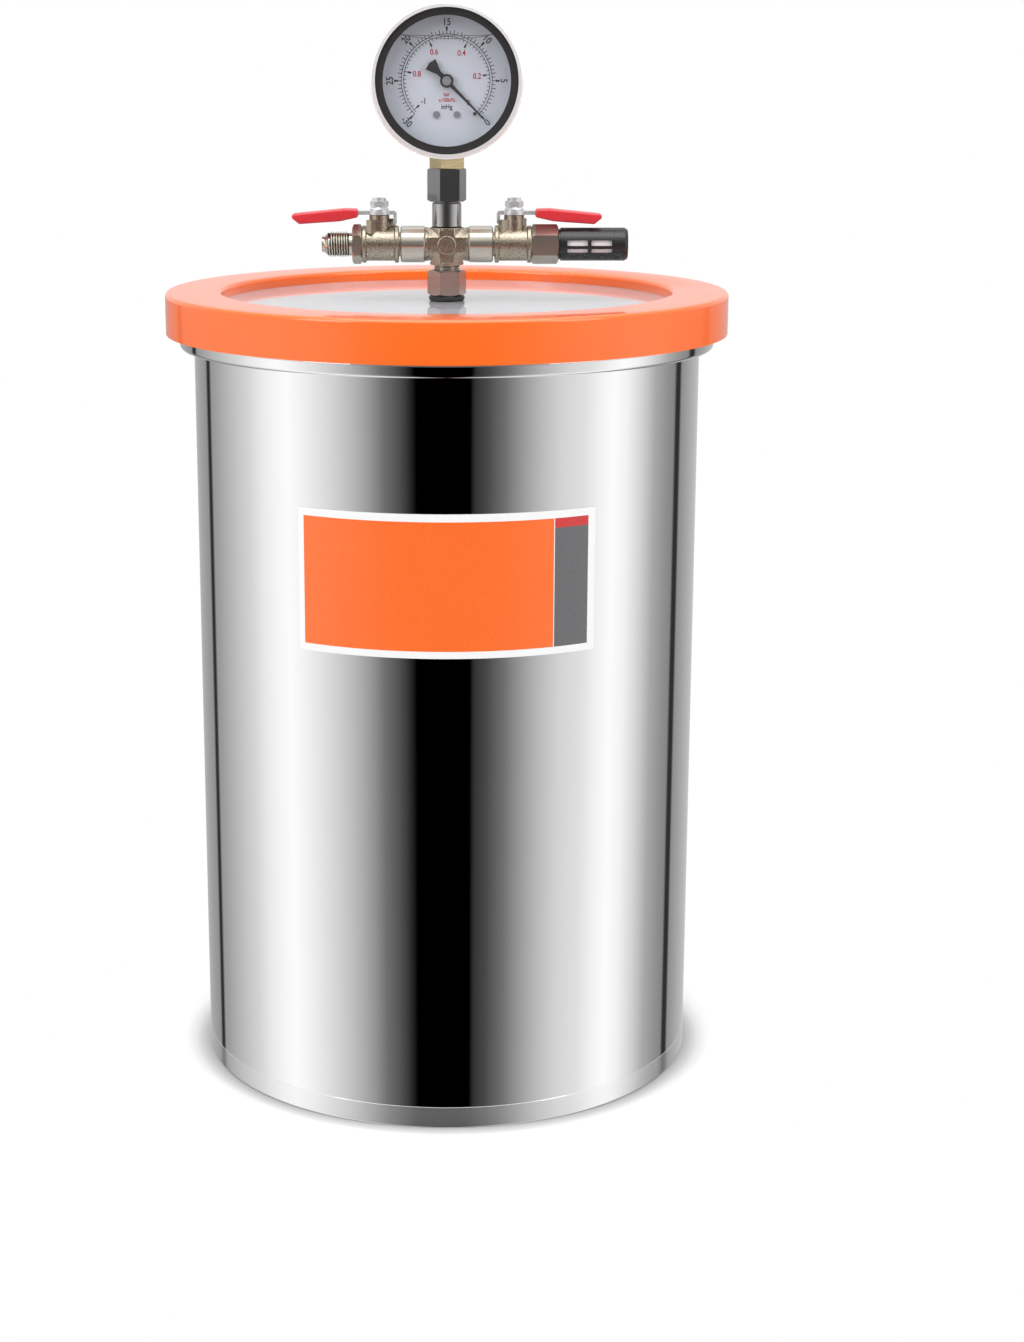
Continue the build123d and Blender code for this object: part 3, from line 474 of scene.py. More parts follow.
def finish_nodes():
    """Give each carried-over node its finish and smooth shading."""
    pairs = [(node, finish) for finish, nodes in FINISH_NODES.items() for node in nodes.split()]
    pairs += [(f"{side}_{node}", finish) for side in ("left", "right")
              for finish, nodes in FINISH_VALVES.items() for node in nodes.split()]
    for node, finish in pairs:
        obj = NODES[node]
        obj.data.materials.clear()
        obj.data.materials.append(FINISH[finish])
        smooth_cad(node)


finish_nodes()


# ---- pot ----

def arc_points(centre, radius, start, end, steps=9):
    """Points along an arc; angles in degrees."""
    angles = [radians(start + (end - start) * i / steps) for i in range(steps + 1)]
    return [(centre[0] + radius * cos(angle), centre[1] + radius * sin(angle)) for angle in angles]


def sheet_outline(path, thickness):
    """Closed outline of a sheet from its middle line."""
    near, far = [], []
    for i, (x, z) in enumerate(path):
        a, b = path[max(i - 1, 0)], path[min(i + 1, len(path) - 1)]
        along = Vector((b[0] - a[0], b[1] - a[1])).normalized() * thickness / 2
        near.append((x - along.y, z + along.x))
        far.append((x + along.y, z - along.x))
    return near + far[::-1] + near[:1]


def bead_path(radius, base, top):
    """Middle line of the wall with its rolled rim, pressed flat on the outside."""
    x = radius
    return ([(x, base), (x, base + 0.3), (x, top - 4.5), (x, top - 3.8)]
            + arc_points((x + 2.75, top - 3.5), 2.75, 180, 90)
            + arc_points((x + 4.75, top - 3.0), 2.25, 90, 0)
            + [(x + 7.0, top - 3.3), (x + 7.0, top - 6.5)]
            + arc_points((x + 6.0, top - 6.75), 1.0, 0, -90)
            + arc_points((x + 3.85, top - 6.75), 1.0, -90, -180) + [(x + 2.85, top - 5.9)])


def scaled(points):
    """Points in millimetres to metres."""
    return [tuple(value * MM for value in point) for point in points]


SHEET = 1.5
PAN_CORNER = 0.9
PAN_INSIDE_CORNER = 1.8


def build_pot():
    """Wall with its pressed rim, and the pan with its tight corner."""
    radius, base, top = POT_R / MM, BASE_TOP / MM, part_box("pot_wall")[1][2] / MM
    outline = sheet_outline(bead_path(radius - SHEET / 2, base, top - SHEET / 2), SHEET)
    wall = lathe("wall_and_rim", scaled(outline), 256)
    sharpen(new_piece("wall_and_rim", wall, "root", "stainless", "mirror", replaces="pot_wall"))
    inside = radius - SHEET
    pan = ([(0, 0), (radius - 1.2, 0)]
           + arc_points((radius - PAN_CORNER, PAN_CORNER), PAN_CORNER, -90, 0, 5)
           + [(radius, 1.1), (radius, base - 0.5), (radius, base - 0.25),
              (radius - 0.2, base - 0.02), (inside, base - 0.02), (inside, 3.4)]
           + arc_points((inside - PAN_INSIDE_CORNER, SHEET + PAN_INSIDE_CORNER), PAN_INSIDE_CORNER,
                        0, -90, 5)
           + [(inside - 2.2, SHEET), (0, SHEET)])
    pan = lathe("base_pan_drawn", scaled(pan), 256)
    sharpen(new_piece("base_pan_drawn", pan, "root", "stainless", "satin", replaces="base_pan"))


build_pot()


# ---- label ----

# Right edge of each column and top edge of each row, from the label's lower left corner
LABEL_FIELDS_ACROSS = (("label_white", 3.0), ("label_orange", 125.0), ("label_white", 125.4),
                       ("label_grey", 143.4), ("label_white", 147.3))
LABEL_FIELDS_UP = (("label_white", 3.4), ("field", 60.4), ("header", 64.9), ("label_white", 68.6))
LABEL_COLOURS = ("label_white", "label_orange", "label_grey", "label_red")
LABEL_STEP = 1.5             # width of one facet of the curve
LABEL_PROUD = 0.00025


def label_cell(column, row):
    """Colour of one cell of the label."""
    if row == "label_white" or column == "label_white":
        return "label_white"
    if row == "header" and column == "label_grey":
        return "label_red"
    return column


def build_label():
    """Curved label with plain colour fields, a little proud of the wall."""
    radius = POT_R + LABEL_PROUD
    arc = LABEL_FIELDS_ACROSS[-1][1] * MM / POT_R
    verts, faces, colours = [], [], []

    def corner(along, up):
        angle = along * MM / POT_R - arc / 2
        return (radius * sin(angle), -radius * cos(angle), LABEL_LOW.z + up * MM)

    def cell(x0, x1, z0, z1, colour):
        steps = max(1, round((x1 - x0) / LABEL_STEP))
        for step in range(steps):
            a = x0 + (x1 - x0) * step / steps
            b = x0 + (x1 - x0) * (step + 1) / steps
            start = len(verts)
            verts.extend([corner(a, z0), corner(b, z0), corner(b, z1), corner(a, z1)])
            faces.append((start, start + 1, start + 2, start + 3))
            colours.append(LABEL_COLOURS.index(colour))

    x0 = 0.0
    for column, x1 in LABEL_FIELDS_ACROSS:
        z0 = 0.0
        for row, z1 in LABEL_FIELDS_UP:
            cell(x0, x1, z0, z1, label_cell(column, row))
            z0 = z1
        x0 = x1
    mesh = bpy.data.meshes.new("label_print")
    mesh.from_pydata(verts, [], faces)
    mesh.polygons.foreach_set("material_index", colours)
    work = bmesh.new()
    work.from_mesh(mesh)
    bmesh.ops.remove_doubles(work, verts=work.verts, dist=1e-6)
    work.to_mesh(mesh)
    work.free()
    smooth_faces(mesh)
    new_piece("label_print", mesh, "root", "label", *LABEL_COLOURS, replaces="label")


build_label()


# ---- cross ----

def plus_outline(half, right, up, down):
    """Corners of an upright plus, anticlockwise from its right arm's lower corner."""
    return [(right, -half), (right, half), (half, half), (half, up), (-half, up), (-half, half),
            (-right, half), (-right, -half), (-half, -half), (-half, -down), (half, -down),
            (half, -half)]


def joined(name, mesh, others, operation):
    """Mesh after a boolean with each of the others."""
    holder = in_scene(name, mesh)
    tools = [in_scene(other.name, other) for other in others]
    for tool in tools:
        cut = holder.modifiers.new("join", "BOOLEAN")
        cut.operation = operation
        cut.solver = "EXACT"
        cut.object = tool
    result = plain_mesh(holder, name)
    for tool in tools:
        bpy.data.objects.remove(tool)
    return result


CROSS_HALF = 7.8             # half thickness of the arms
CROSS_FLAT = 3.8             # half width of their flat faces
CROSS_STUB = 5.7
CROSS_STUB_R = 6.0
CROSS_BORE_R = 3.2
CROSS_BOSS_R = 4.6
CROSS_EDGE = 0.35


def cross_core(right, up, down, centre):
    """Upright plus whose arms are eight sided, with small bevels on its edges."""
    levels = ((-CROSS_HALF, CROSS_FLAT), (-CROSS_FLAT, CROSS_HALF), (CROSS_FLAT, CROSS_HALF),
              (CROSS_HALF, CROSS_FLAT))
    verts = [(x, y, centre + z) for y, width in levels
             for x, z in plus_outline(width, right, up, down)]
    faces = [tuple(range(11, -1, -1)), tuple(range(36, 48))]
    for row in range(3):
        for i in range(12):
            j = (i + 1) % 12
            faces.append((12 * row + i, 12 * row + j, 12 * row + 12 + j, 12 * row + 12 + i))
    core = mesh_from("cross_body", scaled(verts), faces, smooth=False)
    work = bmesh.new()
    work.from_mesh(core)
    crisp = [edge for edge in work.edges if edge.calc_face_angle() > radians(20)]
    bmesh.ops.bevel(work, geom=crisp, offset=CROSS_EDGE * MM, segments=2, affect="EDGES",
                    profile=0.5)
    work.to_mesh(core)
    work.free()
    return core


def cross_ends(reach, other):
    """Outline of one pipe run: a collar and a threaded stub at each end."""
    half = [(7.0, 1.6), (8.1, 1.4), (8.4, 1.2), (8.4, 0.2), (8.2, 0.0), (CROSS_STUB_R, 0.0),
            (CROSS_STUB_R, 0.5 - CROSS_STUB), (CROSS_STUB_R - 0.5, -CROSS_STUB), (0, -CROSS_STUB)]
    start = [(r, inset - other) for r, inset in half[::-1]]
    return start + [(r, reach - inset) for r, inset in half]


def build_cross():
    """Cast cross: flat sided arms with crisp edges, turned collars and threaded stubs."""
    low, high = (Vector(c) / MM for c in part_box("cross_fitting"))
    centre = PIPE_Z / MM
    right = high.x - CROSS_STUB
    up, down = high.z - CROSS_STUB - centre, centre - low.z - CROSS_STUB

    def turned(name, profile, axis):
        return lathe(name, scaled(profile), 48, axis, (0, 0, PIPE_Z))

    face = CROSS_HALF
    boss = [(0, face - 1), (CROSS_BOSS_R, face - 1), (CROSS_BOSS_R, face + 0.35),
            (CROSS_BOSS_R - 0.3, face + 0.5), (0, face + 0.5)]
    bore = [(0, -30), (CROSS_BORE_R, -30), (CROSS_BORE_R, 30), (0, 30)]
    solids = [turned("run", cross_ends(right, right), "X"),
              turned("rise", cross_ends(up, down), "Z"), turned("boss", boss, "-Y")]
    whole = joined("cross", cross_core(right, up, down, centre), solids, "UNION")
    bores = [turned("run_bore", bore, "X"), turned("rise_bore", bore, "Z")]
    whole = joined("cast_cross", whole, bores, "DIFFERENCE")
    smooth_faces(whole)
    whole.materials.clear()
    piece = new_piece("cast_cross", whole, "root", "nickel", "cast_nickel", replaces="cross_fitting")
    sharpen(piece, 24)


build_cross()


# ---- threads ----

# One ridge across its pitch: share of the pitch, share of the height
RIDGE = ((0.10, -0.1), (0.18, 0.0), (0.42, 1.0), (0.58, 1.0), (0.82, 0.0), (0.90, -0.1))


def thread_mesh(name, crest, root, pitch, start, length, axis, centre, steps=36):
    """Screw thread: a ridge wound on its core, with both ends run out to the core."""
    rows = int(length / pitch * steps)
    run_out = 0.4 * steps
    count = len(RIDGE)
    verts, faces = [], []
    for row in range(rows + 1):
        angle = 2 * pi * row / steps
        z = start + pitch * row / steps
        fade = min(1.0, row / run_out, (rows - row) / run_out)
        for part, rise in RIDGE:
            r = root + (crest - root) * rise * fade
            verts.append((r * cos(angle), r * sin(angle), z - pitch / 2 + pitch * part))
    for row in range(rows):
        for i in range(count - 1):
            a = row * count + i
            faces.append((a, a + 1, a + count + 1, a + count))
    for row in (0, rows):
        faces.append(tuple(range(row * count, row * count + count)))
    for row in range(rows):
        a, b = row * count, (row + 1) * count
        faces.append((a + count - 1, a, b, b + count - 1))
    mesh = mesh_from(name, verts, faces)
    mesh.transform(Matrix.Translation(centre) @ AXIS_TURNS[axis])
    return mesh


FLARE_CREST = 6.35 * MM
FLARE_ROOT = 5.5 * MM
FLARE_PITCH = 1.27 * MM
FLARE_THREAD = 10.6 * MM
FLARE_BORE = 2.4 * MM


def build_flare():
    """Flare fitting with its real thread, neck and nose; the core under the thread is painted nearly
    black as shade in the roots.
    """
    low, high = (Vector(c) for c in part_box("flare_fitting"))
    tip = -low.x
    nose = tip - 3.0 * MM
    begin = nose - FLARE_THREAD
    shoulder = begin - 1.6 * MM
    core = [(FLARE_BORE, -high.x), (5.2 * MM, -high.x), (5.2 * MM, shoulder), (5.6 * MM, shoulder),
            (5.6 * MM, begin), (FLARE_ROOT, begin), (FLARE_ROOT, nose - 0.6 * MM), (5.5 * MM, nose),
            (4.0 * MM, nose + 1.6 * MM), (3.9 * MM, nose + 2.0 * MM), (3.9 * MM, tip - 0.2 * MM),
            (3.7 * MM, tip), (FLARE_BORE + 0.3 * MM, tip), (FLARE_BORE, tip - 0.3 * MM),
            (FLARE_BORE, -high.x)]
    centre = (0, 0, PIPE_Z)
    body = lathe("flare_body", core, 64, "-X", centre)
    piece = new_piece("flare_body", body, "root", "nickel", "turned_nickel", "thread_root_painted_shade",
                      replaces="flare_fitting")
    # Painted shade: the core's faces under the thread get the nearly black root colour
    for face in body.polygons:
        out = (face.center - Vector(centre)).yz.length
        if begin < -face.center.x < nose and out > 4.5 * MM:
            face.material_index = 1
    sharpen(piece)
    ridge = thread_mesh("flare_thread", FLARE_CREST, FLARE_ROOT, FLARE_PITCH, begin, 10.0 * MM, "-X",
                        centre)
    new_piece("flare_thread", ridge, "root", "nickel", "turned_nickel", replaces="flare_fitting")


build_flare()


def build_pipe_threads():
    """Pipe thread that shows between the cross and the lid's hexagon."""
    hex_top = Vector(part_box("lid_adapter")[1]).z
    ridge = thread_mesh("lower_pipe_thread", 6.7 * MM, 6.02 * MM, 1.0 * MM, hex_top - 0.2 * MM,
                        2.9 * MM, "Z", (0, 0, 0))
    new_piece("lower_pipe_thread", ridge, "root", "nickel", "hex_nickel")



build_pipe_threads()


# ---- gauge face ----

def gauge_place():
    """From the dial's own frame, X right and Y up with +Z out of the dial, to the row's."""
    return Matrix.Translation((0, DIAL_FRONT, GAUGE_Z)) @ Matrix.Rotation(radians(90), 4, "X")


def marks_tree():
    """Geometry Nodes: bars set out round an arc, as a dial's graduations are."""
    tree = bpy.data.node_groups.new("dial_marks", "GeometryNodeTree")
    tree.interface.new_socket(name="Geometry", in_out="OUTPUT", socket_type="NodeSocketGeometry")
    wanted = (("Count", "NodeSocketInt"), ("Start", "NodeSocketFloat"), ("Step", "NodeSocketFloat"),
              ("Radius", "NodeSocketFloat"), ("Length", "NodeSocketFloat"), ("Width", "NodeSocketFloat"),
              ("Thickness", "NodeSocketFloat"), ("Material", "NodeSocketMaterial"))
    for label, kind in wanted:
        tree.interface.new_socket(name=label, in_out="INPUT", socket_type=kind)
    add = tree.nodes.new
    source, sink = add("NodeGroupInput"), add("NodeGroupOutput")

    def maths(operation, a, b=None):
        node = add("ShaderNodeMath")
        node.operation = operation
        link(tree, a, node.inputs[0])
        if isinstance(b, float):
            node.inputs[1].default_value = b
        elif b is not None:
            link(tree, b, node.inputs[1])
        return node.outputs[0]

    index = add("GeometryNodeInputIndex").outputs[0]
    angle = maths("ADD", maths("MULTIPLY", index, source.outputs["Step"]), source.outputs["Start"])
    middle = maths("ADD", maths("MULTIPLY", source.outputs["Length"], 0.5), source.outputs["Radius"])
    spot = add("ShaderNodeCombineXYZ")
    link(tree, maths("MULTIPLY", maths("COSINE", angle), middle), spot.inputs["X"])
    link(tree, maths("MULTIPLY", maths("SINE", angle), middle), spot.inputs["Y"])
    points = add("GeometryNodePoints")
    link(tree, source.outputs["Count"], points.inputs["Count"])
    link(tree, spot.outputs[0], points.inputs["Position"])
    size = add("ShaderNodeCombineXYZ")
    for label, axis in (("Length", "X"), ("Width", "Y"), ("Thickness", "Z")):
        link(tree, source.outputs[label], size.inputs[axis])
    bar = add("GeometryNodeMeshCube")
    link(tree, size.outputs[0], bar.inputs["Size"])
    turn = add("ShaderNodeCombineXYZ")
    link(tree, angle, turn.inputs["Z"])
    copies = add("GeometryNodeInstanceOnPoints")
    link(tree, points.outputs[0], copies.inputs["Points"])
    link(tree, bar.outputs["Mesh"], copies.inputs["Instance"])
    link(tree, turn.outputs[0], copies.inputs["Rotation"])
    real = add("GeometryNodeRealizeInstances")
    link(tree, copies.outputs[0], real.inputs[0])
    paint = add("GeometryNodeSetMaterial")
    link(tree, real.outputs[0], paint.inputs["Geometry"])
    link(tree, source.outputs["Material"], paint.inputs["Material"])
    link(tree, paint.outputs[0], sink.inputs["Geometry"])
    return tree


MARKS = marks_tree()


def set_input(modifier, label, value):
    """Set a Geometry Nodes input by its socket's identifier."""
    for item in modifier.node_group.interface.items_tree:
        if item.item_type == "SOCKET" and item.in_out == "INPUT" and item.name == label:
            modifier[item.identifier] = value


def grown(name, tree, place, **values):
    """Plain mesh that a Geometry Nodes tree makes, moved to its place."""
    holder = in_scene(name, bpy.data.meshes.new(name))
    modifier = holder.modifiers.new("grow", "NODES")
    modifier.node_group = tree
    for label, value in values.items():
        set_input(modifier, label, value)
    mesh = plain_mesh(holder, name)
    mesh.transform(place)
    return mesh


def dial_piece(name, mesh, material=None):
    """A printed part of the dial."""
    if material:
        mesh.materials.clear()
        new_piece(name, mesh, "root", "dial", material)
    else:
        new_piece(name, mesh, "root", "dial")


INK_T = 0.05 * MM
SCALE_START = radians(-45)
SCALE_SWEEP = radians(270)
FULL_BAR = 1.016             # thirty inches of mercury in bar
OUTER_NUMBERS_R = 27.7 * MM
INNER_NUMBERS_R = 14.9 * MM


def dial_marks():
    """Both scales' graduations, from rows of name, count, step, radius, length, width and ink."""
    place = gauge_place() @ Matrix.Translation((0, 0, INK_T / 2))
    half_inch = SCALE_SWEEP / 60
    fiftieth = SCALE_SWEEP / FULL_BAR / 50
    rows = (
        ("outer_fine_marks", 61, half_inch, 22.2, 1.5, 0.34, "ink"),
        ("outer_inch_marks", 31, 2 * half_inch, 22.2, 2.0, 0.38, "ink"),
        ("outer_main_marks", 7, 10 * half_inch, 23.9, 1.8, 0.95, "ink"),
        ("inner_fine_marks", 51, fiftieth, 19.9, 1.2, 0.32, "ink"),
        ("inner_tenth_marks", 11, 5 * fiftieth, 19.4, 1.7, 0.34, "red_ink"),
        ("inner_main_marks", 6, 10 * fiftieth, 17.7, 1.8, 0.85, "ink"),
    )
    for name, count, step, radius, length, width, material in rows:
        mesh = grown(name, MARKS, place, Count=count, Start=SCALE_START, Step=step,
                     Radius=radius * MM, Length=length * MM, Width=width * MM, Thickness=INK_T,
                     Material=FINISH[material])
        dial_piece(name, mesh)


def arc_band(name, radius, width, material):
    """Thin printed arc along the scale."""
    verts, faces = [], []
    steps = 120
    for step in range(steps + 1):
        angle = SCALE_START + SCALE_SWEEP * step / steps
        for r in (radius, radius + width):
            verts.append((r * cos(angle), r * sin(angle), INK_T))
    for step in range(steps):
        a = 2 * step
        faces.append((a, a + 1, a + 3, a + 2))
    mesh = bpy.data.meshes.new(name)
    mesh.from_pydata(verts, [], faces)
    mesh.transform(gauge_place())
    dial_piece(name, mesh, material)


def lettering(name, text, height, at, turn, material):
    """Printed characters on the dial, made a mesh before they are placed."""
    curve = bpy.data.curves.new(name, "FONT")
    curve.body = text
    curve.size = height / 0.70
    curve.align_x = "CENTER"
    curve.align_y = "CENTER"
    curve.extrude = INK_T / 2
    curve.offset = 0.024 * height
    curve.resolution_u = 4
    mesh = plain_mesh(in_scene(name, curve), name)
    narrow = Matrix.Diagonal((0.86, 1, 1, 1))
    spot = Matrix.Translation((*at, INK_T))
    mesh.transform(gauge_place() @ spot @ Matrix.Rotation(turn, 4, "Z") @ narrow)
    dial_piece(name, mesh, material)


def dial_numbers():
    """Numbers: the outer scale's follow the arc, the inner scale's stand upright."""
    for step in range(7):
        angle = SCALE_START + SCALE_SWEEP * step / 6
        at = (OUTER_NUMBERS_R * cos(angle), OUTER_NUMBERS_R * sin(angle))
        text = "-30" if step == 6 else str(5 * step)
        turn = angle + pi / 2 if step == 6 else angle - pi / 2
        lettering(f"outer_number_{step}", text, 3.3 * MM, at, turn, "ink")
    for step in range(6):
        angle = SCALE_START + SCALE_SWEEP / FULL_BAR * step / 5
        at = (INNER_NUMBERS_R * cos(angle), INNER_NUMBERS_R * sin(angle))
        text = {0: "0", 5: "-1"}.get(step, f"{step / 5:.1f}")
        lettering(f"inner_number_{step}", text, 2.7 * MM, at, 0.0, "red_ink" if step < 5 else "ink")
    lettering("unit_bar", "bar", 1.9 * MM, (0, -6.5 * MM), 0.0, "red_ink")
    lettering("unit_kpa", "x100kPa", 1.9 * MM, (0, -9.2 * MM), 0.0, "red_ink")
    lettering("unit_inhg", "inHg", 2.4 * MM, (0, -12.4 * MM), 0.0, "ink")


dial_marks()
arc_band("scale_arc_outer", 22.0 * MM, 0.34 * MM, "ink")
arc_band("scale_arc_inner", 20.9 * MM, 0.30 * MM, "ink")
dial_numbers()


LIQUID_LEVEL = 21.6 * MM     # above the pointer's axis
LIQUID_R = 31.0 * MM
LIQUID_SAG = 1.5 * MM        # of the lens's lower edge


def build_meniscus():
    """Edge of the gauge's liquid filling: a thin lens between the window and the dial."""
    half = (LIQUID_R ** 2 - LIQUID_LEVEL ** 2) ** 0.5
    steps = 48
    for name, sag in (("liquid_edge", 0.0), ("liquid_edge_lower", LIQUID_SAG)):
        verts, faces = [], []
        for step in range(steps + 1):
            x = -half + 2 * half * step / steps
            lift = 0.5 * MM * (abs(x) / half) ** 6 - sag * (1 - (x / half) ** 2)
            for drop, out in ((0.0, 4.6), (0.18, 4.72), (0.36, 4.6)):
                verts.append((x, LIQUID_LEVEL + lift - drop * MM, out * MM))
        for step in range(steps):
            for row in range(2):
                a = 3 * step + row
                faces.append((a, a + 1, a + 4, a + 3))
        mesh = bpy.data.meshes.new(name)
        mesh.from_pydata(verts, [], faces)
        mesh.transform(gauge_place())
        smooth_faces(mesh)
        dial_piece(name, mesh, "grey_line")


def build_pointer_cap():
    """Stepped steel cap on the pointer's hub."""
    low = Vector(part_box("pointer")[0])
    front = -low.y / MM
    profile = [(1.6, front - 1.2), (2.3, front - 1.2), (2.3, front - 0.55), (2.15, front - 0.4),
               (1.8, front - 0.4), (1.8, front - 0.05), (1.65, front + 0.1), (0, front + 0.1),
               (0, front + 0.02), (1.6, front + 0.02), (1.6, front - 1.2)]
    mesh = lathe("pointer_cap", scaled(profile), 48, "-Y", (0, 0, GAUGE_Z))
    sharpen(new_piece("pointer_cap", mesh, "pointer", "dial", "cap_steel"))


build_meniscus()
build_pointer_cap()


# ---- studio ----

# Painted contact shadow: the floor's diffuse grey from the pot's edge outwards, over CONTACT_REACH
PAINTED_CONTACT_SHADOW = ((0.0, 0.42), (0.06, 0.52), (0.20, 0.70), (0.45, 0.84), (1.0, 0.93))
CONTACT_REACH = 0.030
FLOOR_SIZE = 30.0
FLOOR_FADE = (0.140, 0.21)


def build_floor():
    """Pale floor with a painted contact shadow round the pot, fading into the white surround."""
    mesh = bpy.data.meshes.new("studio_floor")
    size = FLOOR_SIZE
    corners = [(-size, -size, 0), (size, -size, 0), (size, size, 0), (-size, size, 0)]
    mesh.from_pydata(corners, [], [(0, 1, 2, 3)])
    floor = in_scene("studio_floor", mesh)
    material = bpy.data.materials.new("studio_floor")
    material.use_nodes = True
    tree = material.node_tree
    tree.nodes.clear()
    place = tree.nodes.new("ShaderNodeTexCoord")
    length = tree.nodes.new("ShaderNodeVectorMath")
    length.operation = "LENGTH"
    matt = tree.nodes.new("ShaderNodeBsdfDiffuse")
    glow = tree.nodes.new("ShaderNodeEmission")
    glow.inputs["Strength"].default_value = 1.0
    mix = tree.nodes.new("ShaderNodeMixShader")
    sink = tree.nodes.new("ShaderNodeOutputMaterial")
    link(tree, place.outputs["Object"], length.inputs[0])
    # Painted contact shadow: the floor's colour darkens towards the pot's edge, by distance from the
    # axis
    spread = ease(tree, length.outputs["Value"], POT_R - 0.001, POT_R + CONTACT_REACH)
    link(tree, ramp(tree, PAINTED_CONTACT_SHADOW, spread), matt.inputs["Color"])
    link(tree, ease(tree, length.outputs["Value"], *FLOOR_FADE), mix.inputs["Fac"])
    link(tree, matt.outputs["BSDF"], mix.inputs[1])
    link(tree, glow.outputs["Emission"], mix.inputs[2])
    link(tree, mix.outputs["Shader"], sink.inputs["Surface"])
    mesh.materials.append(material)
    floor.visible_glossy = False


# Brightness round the studio at the pot's height, in degrees from the front
LEFT_ROUND = ((0, 0.0), (13.5, 0.0), (16, 0.02), (20, 0.07), (28, 0.17), (34, 0.32), (40, 0.46),
              (50, 0.66), (60, 0.83), (68, 0.96), (76, 1.05), (84, 0.98), (92, 0.87), (100, 0.71),
              (115, 0.52), (130, 0.35), (134, 0.33), (136, 0.03), (139, 0.03), (141, 0.30), (160, 0.42),
              (180, 0.62))
RIGHT_ROUND = ((0, 0.0), (10.5, 0.0), (12.5, 0.035), (18, 0.07), (26, 0.17), (34, 0.34), (42, 0.51),
               (52, 0.69), (64, 0.80), (72, 0.95), (80, 1.05), (88, 0.96), (98, 0.70), (108, 0.42),
               (118, 0.30), (125, 0.25), (127, 0.03), (131, 0.03), (133, 0.29), (150, 0.45), (165, 0.56),
               (180, 0.75))
# Brightness above that, by the sine of the height: in front, and all round
FRONT_RISE = ((0.0, 0.16), (0.30, 0.18), (0.45, 0.55), (0.62, 1.10), (0.88, 1.30), (0.97, 0.75),
              (1.0, 0.6))
ROUND_RISE = ((0.0, 0.80), (0.30, 0.75), (0.45, 0.65), (0.62, 1.0), (0.88, 1.20), (0.97, 0.75),
              (1.0, 0.6))


def ramp(tree, stops, factor, full=1.0):
    """Colour ramp of greys; stops run from 0 to full."""
    node = tree.nodes.new("ShaderNodeValToRGB")
    band = node.color_ramp
    band.elements[0].position = stops[0][0] / full
    band.elements[1].position = stops[-1][0] / full
    for position, _ in stops[1:-1]:
        band.elements.new(position / full)
    for element, (_, value) in zip(band.elements, stops):
        element.color = (value, value, value, 1)
    link(tree, factor, node.inputs["Fac"])
    return node.outputs["Color"]


def blend(tree, factor, a, b):
    """Mix of two colours."""
    mix = tree.nodes.new("ShaderNodeMix")
    mix.data_type = "RGBA"
    link(tree, factor, mix.inputs["Factor"])
    link(tree, a, mix.inputs["A"])
    link(tree, b, mix.inputs["B"])
    return mix.outputs["Result"]


def ease(tree, value, start, end):
    """Smooth step of a value."""
    node = tree.nodes.new("ShaderNodeMapRange")
    node.interpolation_type = "SMOOTHSTEP"
    node.inputs["From Min"].default_value = start
    node.inputs["From Max"].default_value = end
    link(tree, value, node.inputs["Value"])
    return node.outputs["Result"]


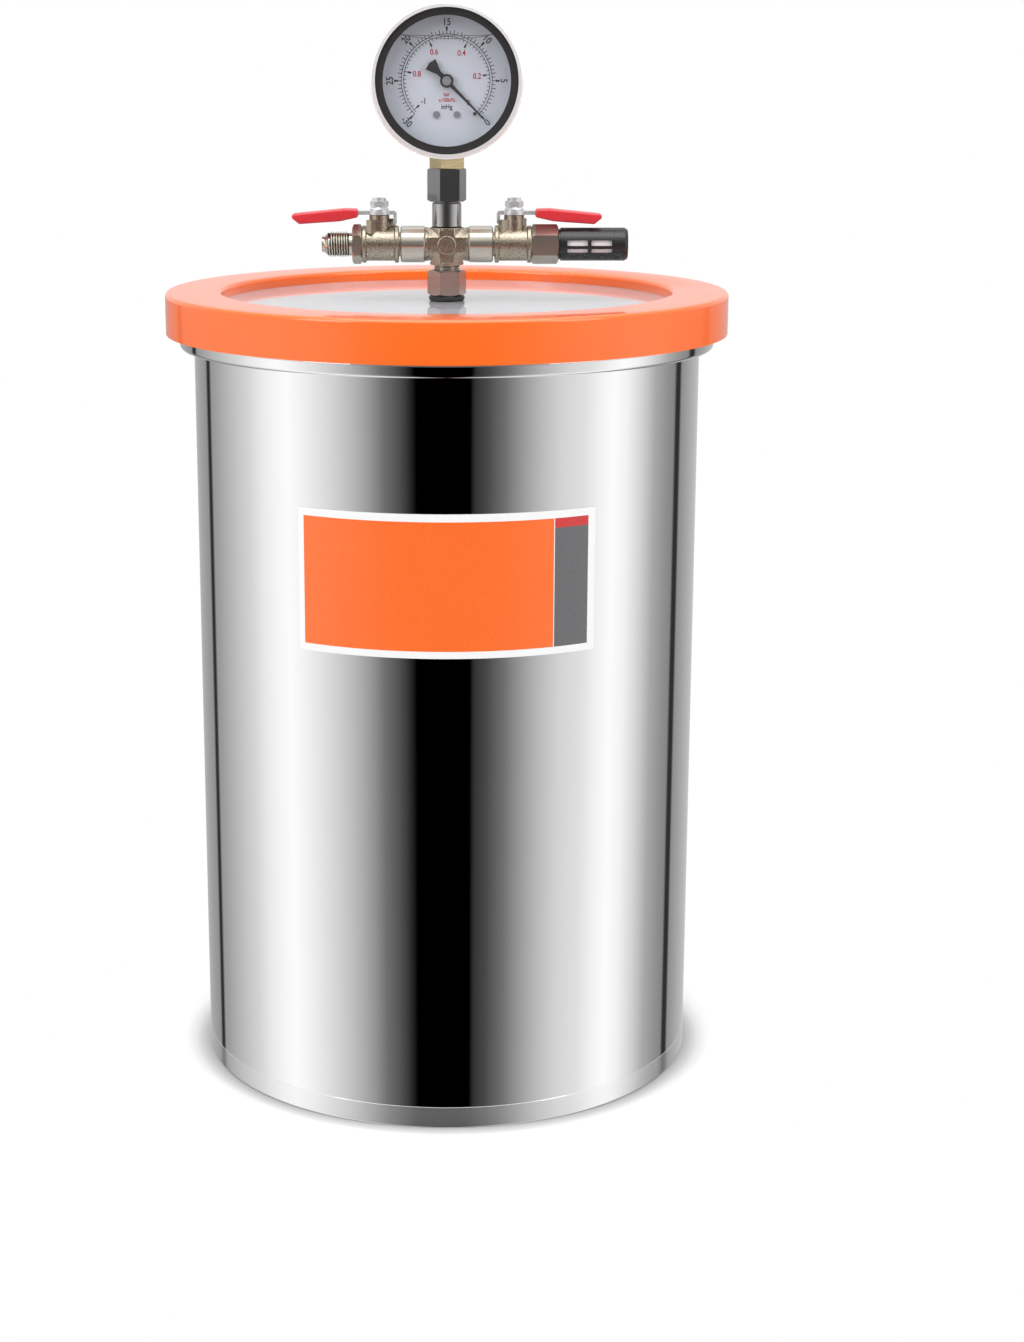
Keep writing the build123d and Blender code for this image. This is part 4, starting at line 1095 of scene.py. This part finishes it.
def build_surround():
    """Studio surround: white to the eye, with the panels and gaps that polished metal shows."""
    world = bpy.data.worlds.new("studio")
    bpy.context.scene.world = world
    world.use_nodes = True
    tree = world.node_tree
    tree.nodes.clear()
    place = tree.nodes.new("ShaderNodeTexCoord")
    parts = tree.nodes.new("ShaderNodeSeparateXYZ")
    link(tree, place.outputs["Generated"], parts.inputs[0])

    def maths(operation, *values):
        node = tree.nodes.new("ShaderNodeMath")
        node.operation = operation
        for slot, value in zip(node.inputs, values):
            if isinstance(value, (int, float)):
                slot.default_value = value
            else:
                link(tree, value, slot)
        return node.outputs[0]

    x, y, z = (parts.outputs[axis] for axis in "XYZ")
    signed = maths("ARCTAN2", x, maths("MULTIPLY", y, -1.0))
    share = maths("DIVIDE", maths("ABSOLUTE", signed), pi)
    side = maths("GREATER_THAN", x, 0.0)
    low = blend(tree, side, ramp(tree, LEFT_ROUND, share, 180), ramp(tree, RIGHT_ROUND, share, 180))
    high = blend(tree, ease(tree, share, 0.10, 0.42), ramp(tree, FRONT_RISE, z),
                 ramp(tree, ROUND_RISE, z))
    mixed = blend(tree, ease(tree, z, -0.09, -0.02), low, high)
    seen = tree.nodes.new("ShaderNodeBackground")
    link(tree, mixed, seen.inputs["Color"])
    white = tree.nodes.new("ShaderNodeBackground")
    white.inputs["Color"].default_value = (1, 1, 1, 1)
    path = tree.nodes.new("ShaderNodeLightPath")
    choice = tree.nodes.new("ShaderNodeMixShader")
    sink = tree.nodes.new("ShaderNodeOutputWorld")
    link(tree, path.outputs["Is Camera Ray"], choice.inputs["Fac"])
    link(tree, seen.outputs[0], choice.inputs[1])
    link(tree, white.outputs[0], choice.inputs[2])
    link(tree, choice.outputs[0], sink.inputs["Surface"])


def softbox(name, at, aim, width, height, power):
    """Rectangular area light aimed at a point."""
    lamp = bpy.data.lights.new(name, "AREA")
    lamp.shape = "RECTANGLE"
    lamp.size = width
    lamp.size_y = height
    lamp.energy = power
    obj = in_scene(name, lamp)
    obj.location = at
    obj.rotation_euler = (Vector(aim) - Vector(at)).to_track_quat("-Z", "Y").to_euler()


CAMERA_TILT = 14.24          # degrees below level


def build_camera():
    """Camera a little above the lid, looking down at the pot."""
    camera = bpy.data.cameras.new("camera")
    camera.lens = 67.15
    camera.sensor_width = 36.0
    camera.shift_x = 0.0486
    camera.clip_end = 100.0
    obj = in_scene("camera", camera)
    obj.location = (0.0, -1.2621, 0.5197)
    obj.rotation_euler = (radians(90 - CAMERA_TILT), 0, 0)
    bpy.context.scene.camera = obj


build_floor()
build_surround()
softbox("top_light", (0.0, -0.35, 1.7), (0, 0, 0.3), 1.4, 1.0, 14.0)
softbox("left_light", (-1.3, -1.1, 1.1), (0, 0, 0.4), 0.7, 1.1, 9.0)
softbox("right_light", (1.3, -1.0, 1.1), (0, 0, 0.4), 0.7, 1.1, 7.0)
build_camera()
bpy.context.scene.view_settings.view_transform = "Standard"
